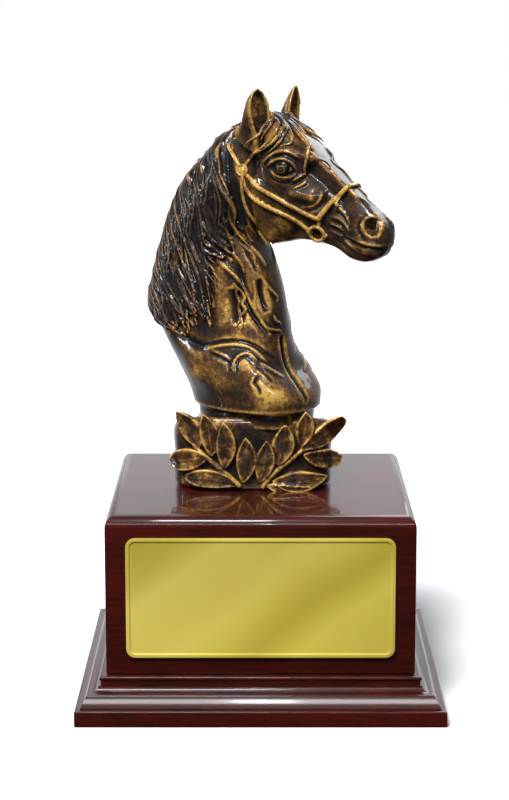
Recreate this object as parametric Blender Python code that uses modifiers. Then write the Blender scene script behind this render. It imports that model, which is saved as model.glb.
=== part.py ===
# Horse-head trophy: a cast horse bust with halter, mane and laurel base,
# standing on a lacquered plinth block and its moulded foot, with a name plate.
# Metres, +Z up, origin at the middle of the underside, name plate towards -Y.

import math

import bmesh
import bpy
import numpy as np
from mathutils import Matrix, Vector
from mathutils.bvhtree import BVHTree

# Plinth block.
BLOCK_WIDTH = 0.117
BLOCK_HEIGHT = 0.0612
BLOCK_TOP_ROUNDING = 0.0046
BLOCK_EDGE_ROUNDING = 0.0006

# Moulded foot, measured outward and downward from the block that it carries.
BEAD_RADIUS = 0.0009
BEAD_OVERHANG = 0.0015
FILLET_OVERHANG = 0.0004
FILLET_HEIGHT = 0.0017
STEP_WIDTH = 0.0008
HOLLOW_WIDTH = 0.0030
HOLLOW_HEIGHT = 0.0023
ROUND_WIDTH = 0.0030
ROUND_HEIGHT = 0.0030
UPRIGHT_HEIGHT = 0.0020
LEDGE_WIDTH = 0.0028
SLAB_HEIGHT = 0.0063
SLAB_ROUNDING = 0.0007

# Name plate on the block's front.
PLATE_SIDE_MARGIN = 0.0078
PLATE_TOP_MARGIN = 0.0081
PLATE_BOTTOM_MARGIN = 0.0067
PLATE_THICKNESS = 0.0009
PLATE_CORNER = 0.0036
PLATE_RIM = 0.0013
PLATE_SUNK = 0.00035

# Clearance that pieces keep where glue or felt joins them.
GLUE_GAP = 0.0003

# Horse casting. Its form is drawn on a grid of 156 units in its height.
HORSE_HEIGHT = 0.156
GRID_HEIGHT = 156.0
HORSE_TURN = math.radians(32)
HORSE_X = -0.003
HORSE_Y = 0.004
FORM_VOXEL = 0.9
CAST_VOXEL = 0.7
CASTING_TRIANGLES = 9000


# Small maths.
def smooth_through(knots, at):
    """Values at the given places of a smooth curve through (place, value) knots."""
    xs, ys = np.array(knots, float).T
    gap = np.diff(xs)
    slope = np.diff(ys) / gap
    tangent = np.zeros_like(ys)
    tangent[0], tangent[-1] = slope[0], slope[-1]
    product = slope[:-1] * slope[1:]
    total = np.where(product > 0, slope[:-1] + slope[1:], 1.0)
    tangent[1:-1] = np.where(product > 0, 2 * product / total, 0.0)
    at = np.clip(np.asarray(at, float), xs[0], xs[-1])
    i = np.clip(np.searchsorted(xs, at, side="right") - 1, 0, len(xs) - 2)
    t = (at - xs[i]) / gap[i]
    return (
        ys[i] * (2 * t**3 - 3 * t**2 + 1)
        + tangent[i] * gap[i] * (t**3 - 2 * t**2 + t)
        + ys[i + 1] * (3 * t**2 - 2 * t**3)
        + tangent[i + 1] * gap[i] * (t**3 - t**2)
    )


def spline(points, count, closed=False):
    """Points along a Catmull-Rom spline through the given points."""
    points = np.array(points, float)
    n = len(points)
    if closed:
        before, after = np.roll(points, 1, 0), np.roll(points, -1, 0)
        at = np.linspace(0, n, count, endpoint=False)
    else:
        before = np.vstack([2 * points[0] - points[1], points[:-1]])
        after = np.vstack([points[1:], 2 * points[-1] - points[-2]])
        at = np.linspace(0, n - 1, count)
    tangent = (after - before) / 2
    i = np.minimum(at.astype(int), n - 1 if closed else n - 2)
    j = (i + 1) % n
    t = (at - i)[:, None]
    return (
        points[i] * (2 * t**3 - 3 * t**2 + 1)
        + tangent[i] * (t**3 - 2 * t**2 + t)
        + points[j] * (3 * t**2 - 2 * t**3)
        + tangent[j] * (t**3 - t**2)
    )


def unit(vectors):
    length = np.linalg.norm(vectors, axis=-1, keepdims=True)
    return vectors / np.maximum(length, 1e-9)


# Forms are (points, faces) pairs on the horse's grid until they become a mesh:
# u forward, v to the horse's left, w up from the casting's underside.
def loft(rings):
    """A closed skin over rings of equally many points."""
    rings = np.array(rings, float)
    count, sides = rings.shape[:2]
    points = [*rings.reshape(-1, 3), rings[0].mean(0), rings[-1].mean(0)]
    first, last = count * sides, count * sides + 1
    top = (count - 1) * sides
    faces = []
    for j in range(sides):
        k = (j + 1) % sides
        for i in range(0, top, sides):
            faces.append((i + j, i + k, i + sides + k, i + sides + j))
        faces.append((first, k, j))
        faces.append((last, top + j, top + k))
    return np.array(points), faces


def joined(forms):
    points, faces, offset = [], [], 0
    for form_points, form_faces in forms:
        points.append(form_points)
        faces.extend(tuple(i + offset for i in face) for face in form_faces)
        offset += len(form_points)
    return np.vstack(points), faces


def turned(form, angle):
    """The form turned about the upright axis."""
    points, faces = form
    cos, sin = math.cos(angle), math.sin(angle)
    turn = np.array([[cos, -sin, 0], [sin, cos, 0], [0, 0, 1]])
    return points @ turn.T, faces


def mesh_of(form, name):
    points, faces = form
    mesh = bpy.data.meshes.new(name)
    mesh.from_pydata(points.tolist(), [], faces)
    work = bmesh.new()
    work.from_mesh(mesh)
    bmesh.ops.recalc_face_normals(work, faces=work.faces)
    work.to_mesh(mesh)
    work.free()
    return mesh


def modified(mesh, modifiers):
    """The mesh after (type, settings) modifiers."""
    holder = bpy.data.objects.new("holder", mesh)
    bpy.context.scene.collection.objects.link(holder)
    for kind, settings in modifiers:
        modifier = holder.modifiers.new(kind, kind)
        for key, value in settings.items():
            setattr(modifier, key, value)
    graph = bpy.context.evaluated_depsgraph_get()
    made = bpy.data.meshes.new_from_object(holder.evaluated_get(graph))
    bpy.data.objects.remove(holder)
    return made


def arrays_of(mesh):
    """Points and normals of a mesh."""
    points, normals = np.empty(len(mesh.vertices) * 3), np.empty(len(mesh.vertices) * 3)
    mesh.vertices.foreach_get("co", points)
    mesh.vertex_normals.foreach_get("vector", normals)
    return points.reshape(-1, 3), normals.reshape(-1, 3)


def form_of(mesh):
    return arrays_of(mesh)[0], [tuple(face.vertices) for face in mesh.polygons]


def fused(forms, voxel, smoothing, name):
    """One skin over overlapping forms."""
    remesh = ("REMESH", {"mode": "VOXEL", "voxel_size": voxel})
    smooth = ("SMOOTH", {"factor": 0.5, "iterations": smoothing})
    return modified(mesh_of(joined(forms), name), [remesh, smooth])


# Head. s runs down the face from poll to muzzle, n from the jaw to the brow.
POLL_U, POLL_W = 4.0, 143.1
HEAD_DOWN = math.radians(34.3)
HEAD_TOP = ((-4, 0), (0, 2.5), (5, 5.2), (12, 6.6), (20, 6.8), (28, 6.0), (38, 4.6), (49, 3.4),
            (60, 2.6), (67, 1.6), (70.5, -0.6), (72.4, -3.6), (73.4, -7))
HEAD_BOTTOM = ((-4, -14), (5, -15), (12, -17), (16, -26), (21, -31.5), (26, -34.8), (31, -36.0),
               (36, -32.0), (41, -26.8), (46, -23.6), (52, -20.8), (57, -19.4), (62, -19.0),
               (67, -17.2), (71, -13.8), (73.4, -9.5))
NASAL_HALF = ((-4, 4), (5, 6.5), (13, 9), (20, 10), (27, 8.4), (34, 6.2), (42, 5.0), (54, 4.2),
              (60, 4.4), (67, 5.0), (71, 3.8), (73.4, 2.0))
BROW_HALF = ((-4, 6), (5, 8.5), (14, 11.4), (22, 12.8), (29, 11.0), (38, 8.0), (46, 6.7), (54, 6.2),
             (60, 6.8), (67, 7.2), (71, 5.2), (73.4, 2.4))
CHEEK_HALF = ((-4, 6), (5, 8), (14, 9.6), (22, 10.8), (30, 10.6), (38, 9.0), (46, 7.2), (54, 6.3),
              (60, 6.3), (67, 6.4), (71, 5.0), (73.4, 2.4))
JAW_HALF = ((-4, 4), (5, 6), (14, 7), (22, 7.6), (30, 7.2), (38, 6.0), (46, 5.0), (54, 4.4),
            (60, 4.6), (67, 4.6), (71, 3.6), (73.4, 2.0))


def on_head(s, n):
    """(u, w) of a place on the head."""
    cos, sin = math.cos(HEAD_DOWN), math.sin(HEAD_DOWN)
    return POLL_U + s * cos + n * sin, POLL_W - s * sin + n * cos


def head_form():
    rings = []
    for s in np.linspace(-4, 73.4, 64):
        top, bottom = smooth_through(HEAD_TOP, s), smooth_through(HEAD_BOTTOM, s)
        deep = top - bottom
        nasal, brow = smooth_through(NASAL_HALF, s), smooth_through(BROW_HALF, s)
        cheek, jaw = smooth_through(CHEEK_HALF, s), smooth_through(JAW_HALF, s)
        half = [(nasal * 0.55, 0.01), (nasal, 0.06), (brow, 0.26), (cheek, 0.58), (jaw, 0.88),
                (jaw * 0.5, 0.985)]
        outline = half + [(-v, share) for v, share in reversed(half)]
        ring = []
        for v, share in spline(outline, 48, closed=True):
            u, w = on_head(s, top - share * deep)
            ring.append((u, v, w))
        rings.append(ring)
    return loft(rings)


# Neck and bust: crest (u, w), throat (u, w) and the half width between them.
NECK_STATIONS = (
    (3, 143, 16, 131, 6), (-8.5, 139.5, 9, 119, 8), (-19, 132, 4, 108, 9.5), (-28, 122, 4, 97, 11),
    (-35, 109, 8, 88, 12.5), (-40, 94, 11.5, 77, 14), (-43.5, 79, 13.5, 65, 16),
    (-45.5, 68, 15, 56, 18), (-40, 58, 17, 48, 20), (-33, 47, 22, 41.5, 20.5),
    (-28, 38, 25.5, 37, 19.8), (-25.5, 31, 26, 31, 19), (-23.5, 29.5, 24, 29.5, 17),
    (-23.5, 24, 24, 24, 17),
)
NECK_SECTION = ((0.42, 0.06), (0.74, 0.22), (1.0, 0.5), (0.94, 0.76), (0.62, 0.95))


def neck_form():
    outline = [(0, 0), *NECK_SECTION, (0, 1)]
    outline += [(-side, share) for side, share in reversed(NECK_SECTION)]
    section = spline(outline, 44, closed=True)
    rings = []
    for crest_u, crest_w, throat_u, throat_w, half in spline(NECK_STATIONS, 60):
        side, share = section[:, 0], section[:, 1]
        rings.append(np.stack([
            crest_u + (throat_u - crest_u) * share,
            half * side,
            crest_w + (throat_w - crest_w) * share,
        ], axis=1))
    return loft(rings)


# Ears: hollow leaf shapes that open forward.
EAR_ROOT = (7.5, 8.5, 131.0)
EAR_TIP = (12.0, 12.8, 156.0)
EAR_HALF = ((0, 4.2), (0.25, 6.0), (0.5, 6.4), (0.7, 5.4), (0.88, 3.3), (1, 0.8))
EAR_DEEP = ((0, 7), (0.3, 7.4), (0.6, 6.0), (0.85, 3.6), (1, 1.0))
EAR_OPENS = math.radians(4)
EAR_BOW = -2.0
EAR_WALL = 1.8


def ear_form(side):
    root, tip = np.array(EAR_ROOT), np.array(EAR_TIP)
    cos, sin = math.cos(EAR_OPENS), math.sin(EAR_OPENS)
    back = np.radians(np.linspace(-90, 90, 15))
    front = np.radians(np.linspace(78, -78, 11))
    rings = []
    for t in np.linspace(0, 1, 22):
        half, deep = smooth_through(EAR_HALF, t), smooth_through(EAR_DEEP, t)
        hollow = max(deep - EAR_WALL, 0.0) * min(1.0, t * 4)
        outer = np.stack([half * np.sin(back), -deep * np.cos(back)], axis=1)
        inner = np.stack([(half - 1.0) * np.sin(front), 0.5 - hollow * np.cos(front)], axis=1)
        x, y = np.vstack([outer, inner]).T
        middle = root + (tip - root) * t
        bow = EAR_BOW * math.sin(math.pi * t) + deep * 0.4
        rings.append(np.stack([
            middle[0] + bow + y * cos - x * sin,
            middle[1] + y * sin + x * cos,
            np.full(len(x), middle[2]),
        ], axis=1))
    points, faces = loft(rings)
    return points * (1, side, 1), faces


# Looking at a form from one side, to draw on it.
NEAR, FAR = -1, 1


def surface_of(mesh):
    return BVHTree.FromPolygons(*form_of(mesh))


def seen_at(surface, u, w, side):
    """Point and normal of the surface where the line of sight along v meets it at (u, w)."""
    place, normal, _, _ = surface.ray_cast(Vector((u, side * 60, w)), Vector((0, -side, 0)))
    if place is None:
        place, normal, _, _ = surface.find_nearest(Vector((u, side * 2, w)))
    return np.array(place), np.array(normal)


def drawn_on(surface, line, side, count):
    """A (u, w) line laid on the surface: points and normals."""
    seen = [seen_at(surface, u, w, side) for u, w in spline(line, count)]
    points, normals = np.array([p for p, _ in seen]), np.array([n for _, n in seen])
    for _ in range(3):
        points[1:-1] = (points[:-2] + 2 * points[1:-1] + points[2:]) / 4
        normals[1:-1] = normals[:-2] + 2 * normals[1:-1] + normals[2:]
    return points, unit(normals)


def on_face(*line):
    """A line of (s, n) places on the head as (u, w)."""
    return [on_head(s, n) for s, n in line]


def ring_on_face(s, n, long, tall, lean=0.0, start=0, end=360):
    """An ellipse on the side of the head, as (u, w)."""
    line = []
    for a in np.radians(np.linspace(start, end, 13)):
        x, y = long * math.cos(a), tall * math.sin(a)
        line.append((s + x * math.cos(lean) - y * math.sin(lean),
                     n + x * math.sin(lean) + y * math.cos(lean)))
    return on_face(*line)


# Carving: each stroke is a line, how far it spreads and how far it raises the surface.
EYE = (23.6, -4.6)
EYE_LEAN = math.radians(34)
NOSTRIL = (65.0, -2.6)
STROKES = (
    (on_face((9, -22), (20, -22)), 8.0, 1.4),
    (on_face((32.5, -33), (35, -25), (33, -17), (29, -13)), 2.0, -1.0),
    (on_face(EYE, (EYE[0] + 0.5, EYE[1])), 6.5, 1.3),
    (on_face((14, -3), (15.5, -1)), 2.4, -1.3),
    (on_face((17, -4.5), (19.5, 0.6), (24, 3.0), (29.5, 3.8)), 1.8, 1.5),
    (ring_on_face(*EYE, 5.4, 3.6, EYE_LEAN, 20, 170), 1.0, 0.9),
    (ring_on_face(*EYE, 5.2, 3.6, EYE_LEAN, 185, 350), 1.2, 0.5),
    (ring_on_face(*EYE, 4.2, 2.5, EYE_LEAN), 0.8, -0.9),
    (on_face(EYE, (EYE[0] + 0.4, EYE[1])), 2.2, 1.1),
    (on_face((28, -8), (32, -11)), 1.5, -0.8),
    (on_face((26, -12.5), (34, -11.5), (43, -10)), 2.0, 1.4),
    (on_face((33, -4), (41, -4), (49, -4)), 3.6, -1.4),
    (on_face((27, 5.0), (38, 3.6), (52, 2.3)), 1.3, 0.8),
    (on_face((49, -12), (56, -11)), 3.0, -0.8),
    (ring_on_face(*NOSTRIL, 3.8, 3.0, math.radians(-20)), 1.5, 1.5),
    (on_face(NOSTRIL, (NOSTRIL[0] + 0.7, NOSTRIL[1] - 0.4)), 2.1, -3.2),
    (on_face((59, -2), (61, -5.5), (66, -8)), 1.4, -1.0),
    (on_face((74, -9.8), (67, -11.2), (59, -13)), 1.0, -1.4),
    (on_face((73, -8.0), (67, -9.3), (60, -11)), 1.2, 0.6),
    (on_face((71, -12.4), (66, -13.6), (60, -15)), 1.3, 0.7),
    (on_face((58, -12), (54, -9), (52, -5)), 0.9, -0.8),
    (on_face((60, -11), (57, -8), (55.5, -4)), 0.9, -0.8),
    (((2, 92), (7, 77), (13, 62), (18, 50)), 2.4, -2.0),
    (((-3, 88), (2, 72), (9, 56)), 4.5, 1.2),
    (((12, 46), (18, 38)), 7.0, 2.4),
    (((-16, 46), (-4, 42)), 9.0, 1.8),
    (((-30, 62), (-18, 57), (-4, 54), (10, 58)), 1.8, -1.5),
    (((-3, 52), (3.5, 46), (11, 51)), 1.3, -1.2),
    (((14, 57), (20, 47), (23, 36)), 1.6, -1.4),
)


def carved(mesh):
    """Raises and sinks the surface along each stroke, alike on both sides."""
    surface = surface_of(mesh)
    points, normals = arrays_of(mesh)
    for line, spread, height in STROKES:
        for side in (NEAR, FAR):
            stroke, _ = drawn_on(surface, line, side, 14)
            start, step = stroke[:-1], stroke[1:] - stroke[:-1]
            length = np.maximum((step**2).sum(1), 1e-9)
            close = np.where(np.abs(points - stroke.mean(0)).max(1) < 45)[0]
            offset = points[close, None] - start
            along = np.clip((offset * step).sum(2) / length, 0, 1)
            distance = np.sqrt(((offset - along[..., None] * step) ** 2).sum(2).min(1))
            points[close] += normals[close] * (height * np.exp(-(distance / spread) ** 2))[:, None]
    mesh.vertices.foreach_set("co", points.ravel())
    mesh.update()
    return mesh


def strip(path, normals, width, thick, lift, squareness=1.0):
    """A closed strip along a path that lies on a surface, from widths at even places along it."""
    along = unit(np.gradient(path, axis=0))
    across = unit(np.cross(along, normals))
    up = unit(np.cross(across, along))
    t = np.linspace(0, 1, len(path))
    places = np.linspace(0, 1, len(width))
    half = np.interp(t, places, width) / 2
    tall = np.interp(t, np.linspace(0, 1, len(thick)), thick) / 2
    angles = np.radians(np.arange(0, 360, 36))
    x = np.sign(np.cos(angles)) * np.abs(np.cos(angles)) ** squareness
    y = np.sign(np.sin(angles)) * np.abs(np.sin(angles)) ** squareness
    rings = (path[:, None] + up[:, None] * lift
             + across[:, None] * (half[:, None] * x)[..., None]
             + up[:, None] * (tall[:, None] * y)[..., None])
    return loft(rings)


# Mane: locks that fall from the crest over the near side of the neck.
MANE_GUIDES = (
    ((-1, 142), (-5, 135), (-4.5, 127), (-0.5, 117), (-1, 107), (4, 97)),
    ((-9, 138.5), (-13, 129), (-9.5, 119), (-10.5, 109), (-7, 97), (-1, 88)),
    ((-19, 131.5), (-20.5, 121), (-17, 111), (-18.5, 101), (-14, 90), (-6, 80)),
    ((-29, 121), (-28, 110), (-25, 100), (-25, 90), (-20, 78), (-13, 65)),
    ((-37, 109), (-35.5, 99), (-31.5, 89), (-31.5, 79), (-26, 69), (-19, 60)),
    ((-42, 95), (-41, 86), (-37.5, 78), (-35, 70), (-31, 64), (-26, 58)),
    ((-45.5, 79), (-44.5, 75), (-42.5, 71), (-40, 67), (-36, 62.5), (-31.5, 58.5)),
)
MANE_LOCKS = 19
LOCK_WIDTH = (3.5, 5.5, 6.0, 5.2, 4.0, 1.2)
LOCK_THICK = (2.5, 4.5, 4.5, 4.0, 3.0, 1.0)
LOCK_LIFTS = (1.5, 0.6)
THROAT_LOCKS = (
    ((-3, 93), (2, 88), (5, 80), (10, 71)),
    ((-6, 88), (-1, 84), (3, 76), (8.5, 68), (5, 62), (1, 61)),
)
FORELOCK = (
    ((12, 149), (9, 143), (6, 137)), ((14, 149.5), (13, 142), (11, 134)),
    ((17, 148.5), (18, 141), (16.5, 133.5)), ((19, 147.5), (23, 140), (24, 132.5)),
    ((20, 147), (27, 140), (31, 131.5)),
)


def mane_forms(surface):
    locks = []
    guides = np.array(MANE_GUIDES, float)
    for k, t in enumerate(np.linspace(0, len(guides) - 1, MANE_LOCKS)):
        i = min(int(t), len(guides) - 2)
        line = guides[i] + (guides[i + 1] - guides[i]) * (t - i)
        line[1:, 0] += 1.6 * np.sin(1.9 * k + 1.4 * np.arange(1, len(line)))
        path, normals = drawn_on(surface, line, NEAR, 26)
        locks.append(strip(path, normals, LOCK_WIDTH, LOCK_THICK, LOCK_LIFTS[k % 2]))
        start = guides[i][0] + (guides[i + 1][0] - guides[i][0]) * (t - i)
        short = [start, start + (1.5, -6), start + (4, -13)]
        path, normals = drawn_on(surface, short, FAR, 12)
        locks.append(strip(path, normals, (4, 6, 2), (3, 3.5, 1), LOCK_LIFTS[k % 2]))
    for line in THROAT_LOCKS:
        path, normals = drawn_on(surface, line, NEAR, 20)
        locks.append(strip(path, normals, (3, 4, 3.5, 1), (2, 2.6, 2.4, 1), LOCK_LIFTS[0]))
    for line in FORELOCK:
        path, normals = drawn_on(surface, line, NEAR, 14)
        locks.append(strip(path, normals, (2.5, 3.6, 1), (2, 2.6, 1), LOCK_LIFTS[1]))
    return locks


# Halter: straps that lie on the head, alike on both sides, with their fittings.
STRAP_WIDTH, STRAP_THICK, STRAP_LIFT = 2.3, 1.5, 0.5
ROSETTE = (3.3, 124.9)
RING = (34.6, 103.2)
RING_RADIUS, RING_WIRE = 2.9, 0.85
NOSEBAND_MIDDLE = (47, 0, 118)
NOSEBAND_REACH = (6, 12, 6)
STRAPS = (
    (ROSETTE, (-1.5, 131), (-4.8, 137.3)),
    (ROSETTE, (5.5, 128), (9.5, 132.5), (16, 137.5), (22, 142.5)),
    (ROSETTE, (9, 120.5), (20, 115), (31, 110), (36, 108)),
    (ROSETTE, (5, 117.5), (12, 112.4), (20, 108), (31, 104)),
    (ROSETTE, (3, 113), (3.6, 106), (7.6, 99.6), (13, 95.2)),
    ((36, 108), (38.5, 112), (42.5, 117), (47, 121.6)),
)
BOSSES = ((ROSETTE, 2.5), ((9, 120.3), 2.0), ((12, 112.4), 1.9), ((37, 107.6), 1.7), ((37.6, 101.8), 1.3))


def halter_forms(surface):
    forms = []
    for side in (NEAR, FAR):
        for line in STRAPS:
            path, normals = drawn_on(surface, line, side, 24)
            forms.append(strip(path, normals, (STRAP_WIDTH,), (STRAP_THICK,), STRAP_LIFT, 0.6))
        for (u, w), radius in BOSSES:
            place, normal = seen_at(surface, u, w, side)
            path = place + np.outer(np.linspace(-1, 1.4, 6), normal)
            across = np.tile(unit(np.cross(normal, (0, 0, 1.0))), (6, 1))
            forms.append(strip(path, across, (2 * radius,) * 4 + (radius,), (2 * radius,) * 4 + (radius,), 0))
        forms.append(ring_form(surface, *RING, side))
    bridge = []
    for a in np.radians(np.linspace(-72, 72, 15)):
        toward = np.array((math.cos(a), math.sin(a), math.cos(a))) * NOSEBAND_REACH
        place, normal, _, _ = surface.find_nearest(Vector(toward + NOSEBAND_MIDDLE))
        bridge.append((*place, *normal))
    bridge = np.array(bridge)
    forms.append(strip(bridge[:, :3], unit(bridge[:, 3:]), (STRAP_WIDTH,), (STRAP_THICK,), STRAP_LIFT, 0.6))
    return forms


def ring_form(surface, u, w, side):
    place, normal = seen_at(surface, u, w, side)
    first = unit(np.cross(normal, (0, 0, 1.0)))
    second = np.cross(normal, first)
    rings = []
    for a in np.radians(np.arange(0, 360, 20)):
        out = first * math.cos(a) + second * math.sin(a)
        middle = place + out * RING_RADIUS + normal * RING_WIRE
        rings.append([middle + (out * math.cos(b) + normal * math.sin(b)) * RING_WIRE
                      for b in np.radians(np.arange(0, 360, 45))])
    points = np.array(rings).reshape(-1, 3)
    faces = []
    count, sides = len(rings), len(rings[0])
    for i in range(count):
        for j in range(sides):
            following, beside = (i + 1) % count, (j + 1) % sides
            faces.append((i * sides + j, i * sides + beside, following * sides + beside,
                          following * sides + j))
    return points, faces


# Base of the casting, square to the plinth: a rounded rock with laurel leaves on its front.
ROCK_HALF_LENGTH = 31.5
ROCK_HALF_DEPTH = 20.0
ROCK_HEIGHT = 28.5
ROCK_FULLNESS = 0.55
ROCK_END_MARGIN = 3.0
ROCK_TOP_MARGIN = 5.0
ROCK_TAPER = ((0, 0.97), (3, 1.0), (12, 0.985), (22, 1.0), (26.5, 0.98), (28.5, 0.93))
LEAVES = (
    ((-20.5, 17.5), (-28.5, 30.5), 6.5), ((-16, 14), (-18.5, 31), 6.5), ((-11.5, 9), (-11.5, 27), 7.5),
    ((-4, 3.5), (-3, 21.5), 7.5), ((2.5, 3.5), (6, 22), 7.0), ((9.5, 10.5), (12.5, 28), 8.0),
    ((19.5, 19), (21, 33), 6.0), ((9, 4.5), (29.5, 5.5), 7.5), ((6, 2.5), (23, 1.8), 4.5),
    ((-6, 2), (-24, 4.5), 6.0),
)
BLUNT_LEAVES = (
    ((16.5, 15), (34.5, 27), 7.0), ((18.5, 14), (34, 12.5), 6.5), ((-18, 12.5), (-31.5, 10), 7.0),
)
STEMS = (
    ((-5, 1.6), (-13.7, 9.5), (-19, 14), (-23, 18)),
    ((3.5, 1.2), (6.3, 5.2), (11.8, 10), (16.8, 14), (21, 17.6), (25, 23)),
)


def rock_form():
    rings = []
    angles = np.radians(np.arange(0, 360, 7.5))
    x = np.sign(np.cos(angles)) * np.abs(np.cos(angles)) ** ROCK_FULLNESS
    y = np.sign(np.sin(angles)) * np.abs(np.sin(angles)) ** ROCK_FULLNESS
    for w in np.linspace(0, ROCK_HEIGHT, 15):
        share = smooth_through(ROCK_TAPER, w)
        rings.append(np.stack([ROCK_HALF_LENGTH * share * x, ROCK_HALF_DEPTH * share * y,
                               np.full(len(x), w)], axis=1))
    return loft(rings)


def seen_from_front(surface, x, w):
    """Point and normal of the rock's front at (x, w), carried on straight past its edges."""
    reach = ROCK_HALF_LENGTH - ROCK_END_MARGIN
    inside = max(-reach, min(reach, x))
    level = max(1.0, min(ROCK_HEIGHT - ROCK_TOP_MARGIN, w))
    place, normal, _, _ = surface.ray_cast(Vector((inside, -60, level)), Vector((0, 1, 0)))
    return np.array((x, place.y, w)), np.array(normal)


def leaf_form(surface, base, tip, wide, taper=0.96):
    """A pointed leaf, hollow between its raised edges, its tip standing off the rock."""
    count = 11
    t = np.linspace(0, 1, count)
    line = np.outer(1 - t, base) + np.outer(t, tip)
    seen = [seen_from_front(surface, x, w) for x, w in line]
    path, normals = np.array([p for p, _ in seen]), unit(np.array([n for _, n in seen]))
    path = path + normals * (0.9 + 1.5 * t**2)[:, None]
    along = unit(np.gradient(path, axis=0))
    across = unit(np.cross(along, normals))
    half = wide / 2 * np.sin(np.pi * (0.05 + (taper - 0.05) * t) ** 0.85) + 0.25
    profile = ((-1, -1), (-0.95, 0.8), (-0.7, 1.2), (-0.4, 0.4), (0, 0.2), (0.4, 0.4), (0.7, 1.2),
               (0.95, 0.8), (1, -1), (0, -2.2))
    rings = []
    for place, side, up, reach in zip(path, across, normals, half):
        rings.append([place + side * reach * x + up * y * min(1.0, reach) for x, y in profile])
    return loft(rings)


def laurel_forms(rock):
    surface = surface_of(mesh_of(rock, "rock"))
    forms = [leaf_form(surface, *leaf) for leaf in LEAVES]
    forms += [leaf_form(surface, *leaf, taper=0.78) for leaf in BLUNT_LEAVES]
    for line in STEMS:
        seen = [seen_from_front(surface, x, w) for x, w in spline(line, 18)]
        path, normals = np.array([p for p, _ in seen]), np.array([n for _, n in seen])
        forms.append(strip(path, unit(normals), (2.0, 1.4), (2.0, 1.4), 0.8))
    return forms


def casting():
    """The whole casting on its grid, square to the plinth."""
    bust = fused([head_form(), neck_form(), ear_form(NEAR), ear_form(FAR)], FORM_VOXEL, 8, "bust")
    carved(bust)
    surface = surface_of(bust)
    horse = joined([form_of(bust), *mane_forms(surface), *halter_forms(surface)])
    rock = rock_form()
    forms = [turned(horse, -HORSE_TURN), rock, *laurel_forms(rock)]
    cast = fused(forms, CAST_VOXEL, 1, "casting")
    count = sum(len(face.vertices) - 2 for face in cast.polygons)
    return modified(cast, [("DECIMATE", {"ratio": CASTING_TRIANGLES / count})])


# The pieces, placed.
def foot_height():
    return (SLAB_HEIGHT + UPRIGHT_HEIGHT + ROUND_HEIGHT + HOLLOW_HEIGHT + FILLET_HEIGHT
            + 2 * BEAD_RADIUS)


def block_bottom():
    return foot_height() + GLUE_GAP


def block_top():
    return block_bottom() + BLOCK_HEIGHT


def quarter(middle, radii, start, end, steps=6):
    """Points of an elliptical quarter in (half width, height)."""
    return [(middle[0] + radii[0] * math.cos(a), middle[1] + radii[1] * math.sin(a))
            for a in np.radians(np.linspace(start, end, steps + 1))]


def foot_profile():
    """Half widths and heights of the foot's moulded edge, top to bottom."""
    bead_top = foot_height()
    bead = BLOCK_WIDTH / 2 + BEAD_OVERHANG
    fillet_top = bead_top - 2 * BEAD_RADIUS
    fillet = bead + FILLET_OVERHANG
    step = fillet + STEP_WIDTH
    hollow_top = fillet_top - FILLET_HEIGHT
    upright = step + HOLLOW_WIDTH + ROUND_WIDTH
    round_middle = hollow_top - HOLLOW_HEIGHT
    round_bottom = round_middle - ROUND_HEIGHT
    slab = upright + LEDGE_WIDTH
    profile = [(0, bead_top)]
    profile += quarter((bead, bead_top - BEAD_RADIUS), (BEAD_RADIUS, BEAD_RADIUS), 90, -90, 8)
    profile += [(fillet, fillet_top), (fillet, hollow_top)]
    profile += quarter((step + HOLLOW_WIDTH, hollow_top), (HOLLOW_WIDTH, HOLLOW_HEIGHT), 180, 270)
    profile += quarter((upright - ROUND_WIDTH, round_bottom), (ROUND_WIDTH, ROUND_HEIGHT), 90, 0)
    profile += [(upright, SLAB_HEIGHT)]
    profile += quarter((slab - SLAB_ROUNDING, SLAB_HEIGHT - SLAB_ROUNDING),
                       (SLAB_ROUNDING, SLAB_ROUNDING), 90, 0, 3)
    profile += [(slab, 0), (0, 0)]
    return profile


def foot_piece():
    """The profile swept round a square, so that its corners are mitred."""
    corner = math.sqrt(2)
    points = [(half * corner * math.cos(math.pi / 4), half * corner * math.sin(math.pi / 4), z)
              for half, z in foot_profile()]
    points = [point for k, point in enumerate(points) if k == 0 or point != points[k - 1]]
    mesh = bpy.data.meshes.new("plinth_foot")
    mesh.from_pydata(points, [(k, k + 1) for k in range(len(points) - 1)], [])
    foot = bpy.data.objects.new("plinth_foot", mesh)
    screw = foot.modifiers.new("square", "SCREW")
    screw.steps = screw.render_steps = 4
    screw.use_smooth_shade = False
    screw.use_merge_vertices = True
    screw.merge_threshold = 1e-6
    return foot


def block_piece():
    """A square block whose top edge is rounded more than its upright edges."""
    half, rounding = BLOCK_WIDTH / 2, BLOCK_TOP_ROUNDING
    profile = [(half, 0)]
    profile += quarter((half - rounding, BLOCK_HEIGHT - rounding), (rounding, rounding), 0, 90, 8)
    rings = []
    for reach, z in profile:
        middle = reach - BLOCK_EDGE_ROUNDING
        ring = []
        for x, y, start in ((1, 1, 0), (-1, 1, 90), (-1, -1, 180), (1, -1, 270)):
            arc = quarter((x * middle, y * middle), (BLOCK_EDGE_ROUNDING,) * 2, start, start + 90, 2)
            ring += [(*place, z) for place in arc]
        rings.append(ring)
    block = bpy.data.objects.new("plinth_block", mesh_of(loft(rings), "plinth_block"))
    block.location.z = block_bottom()
    return block


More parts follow.
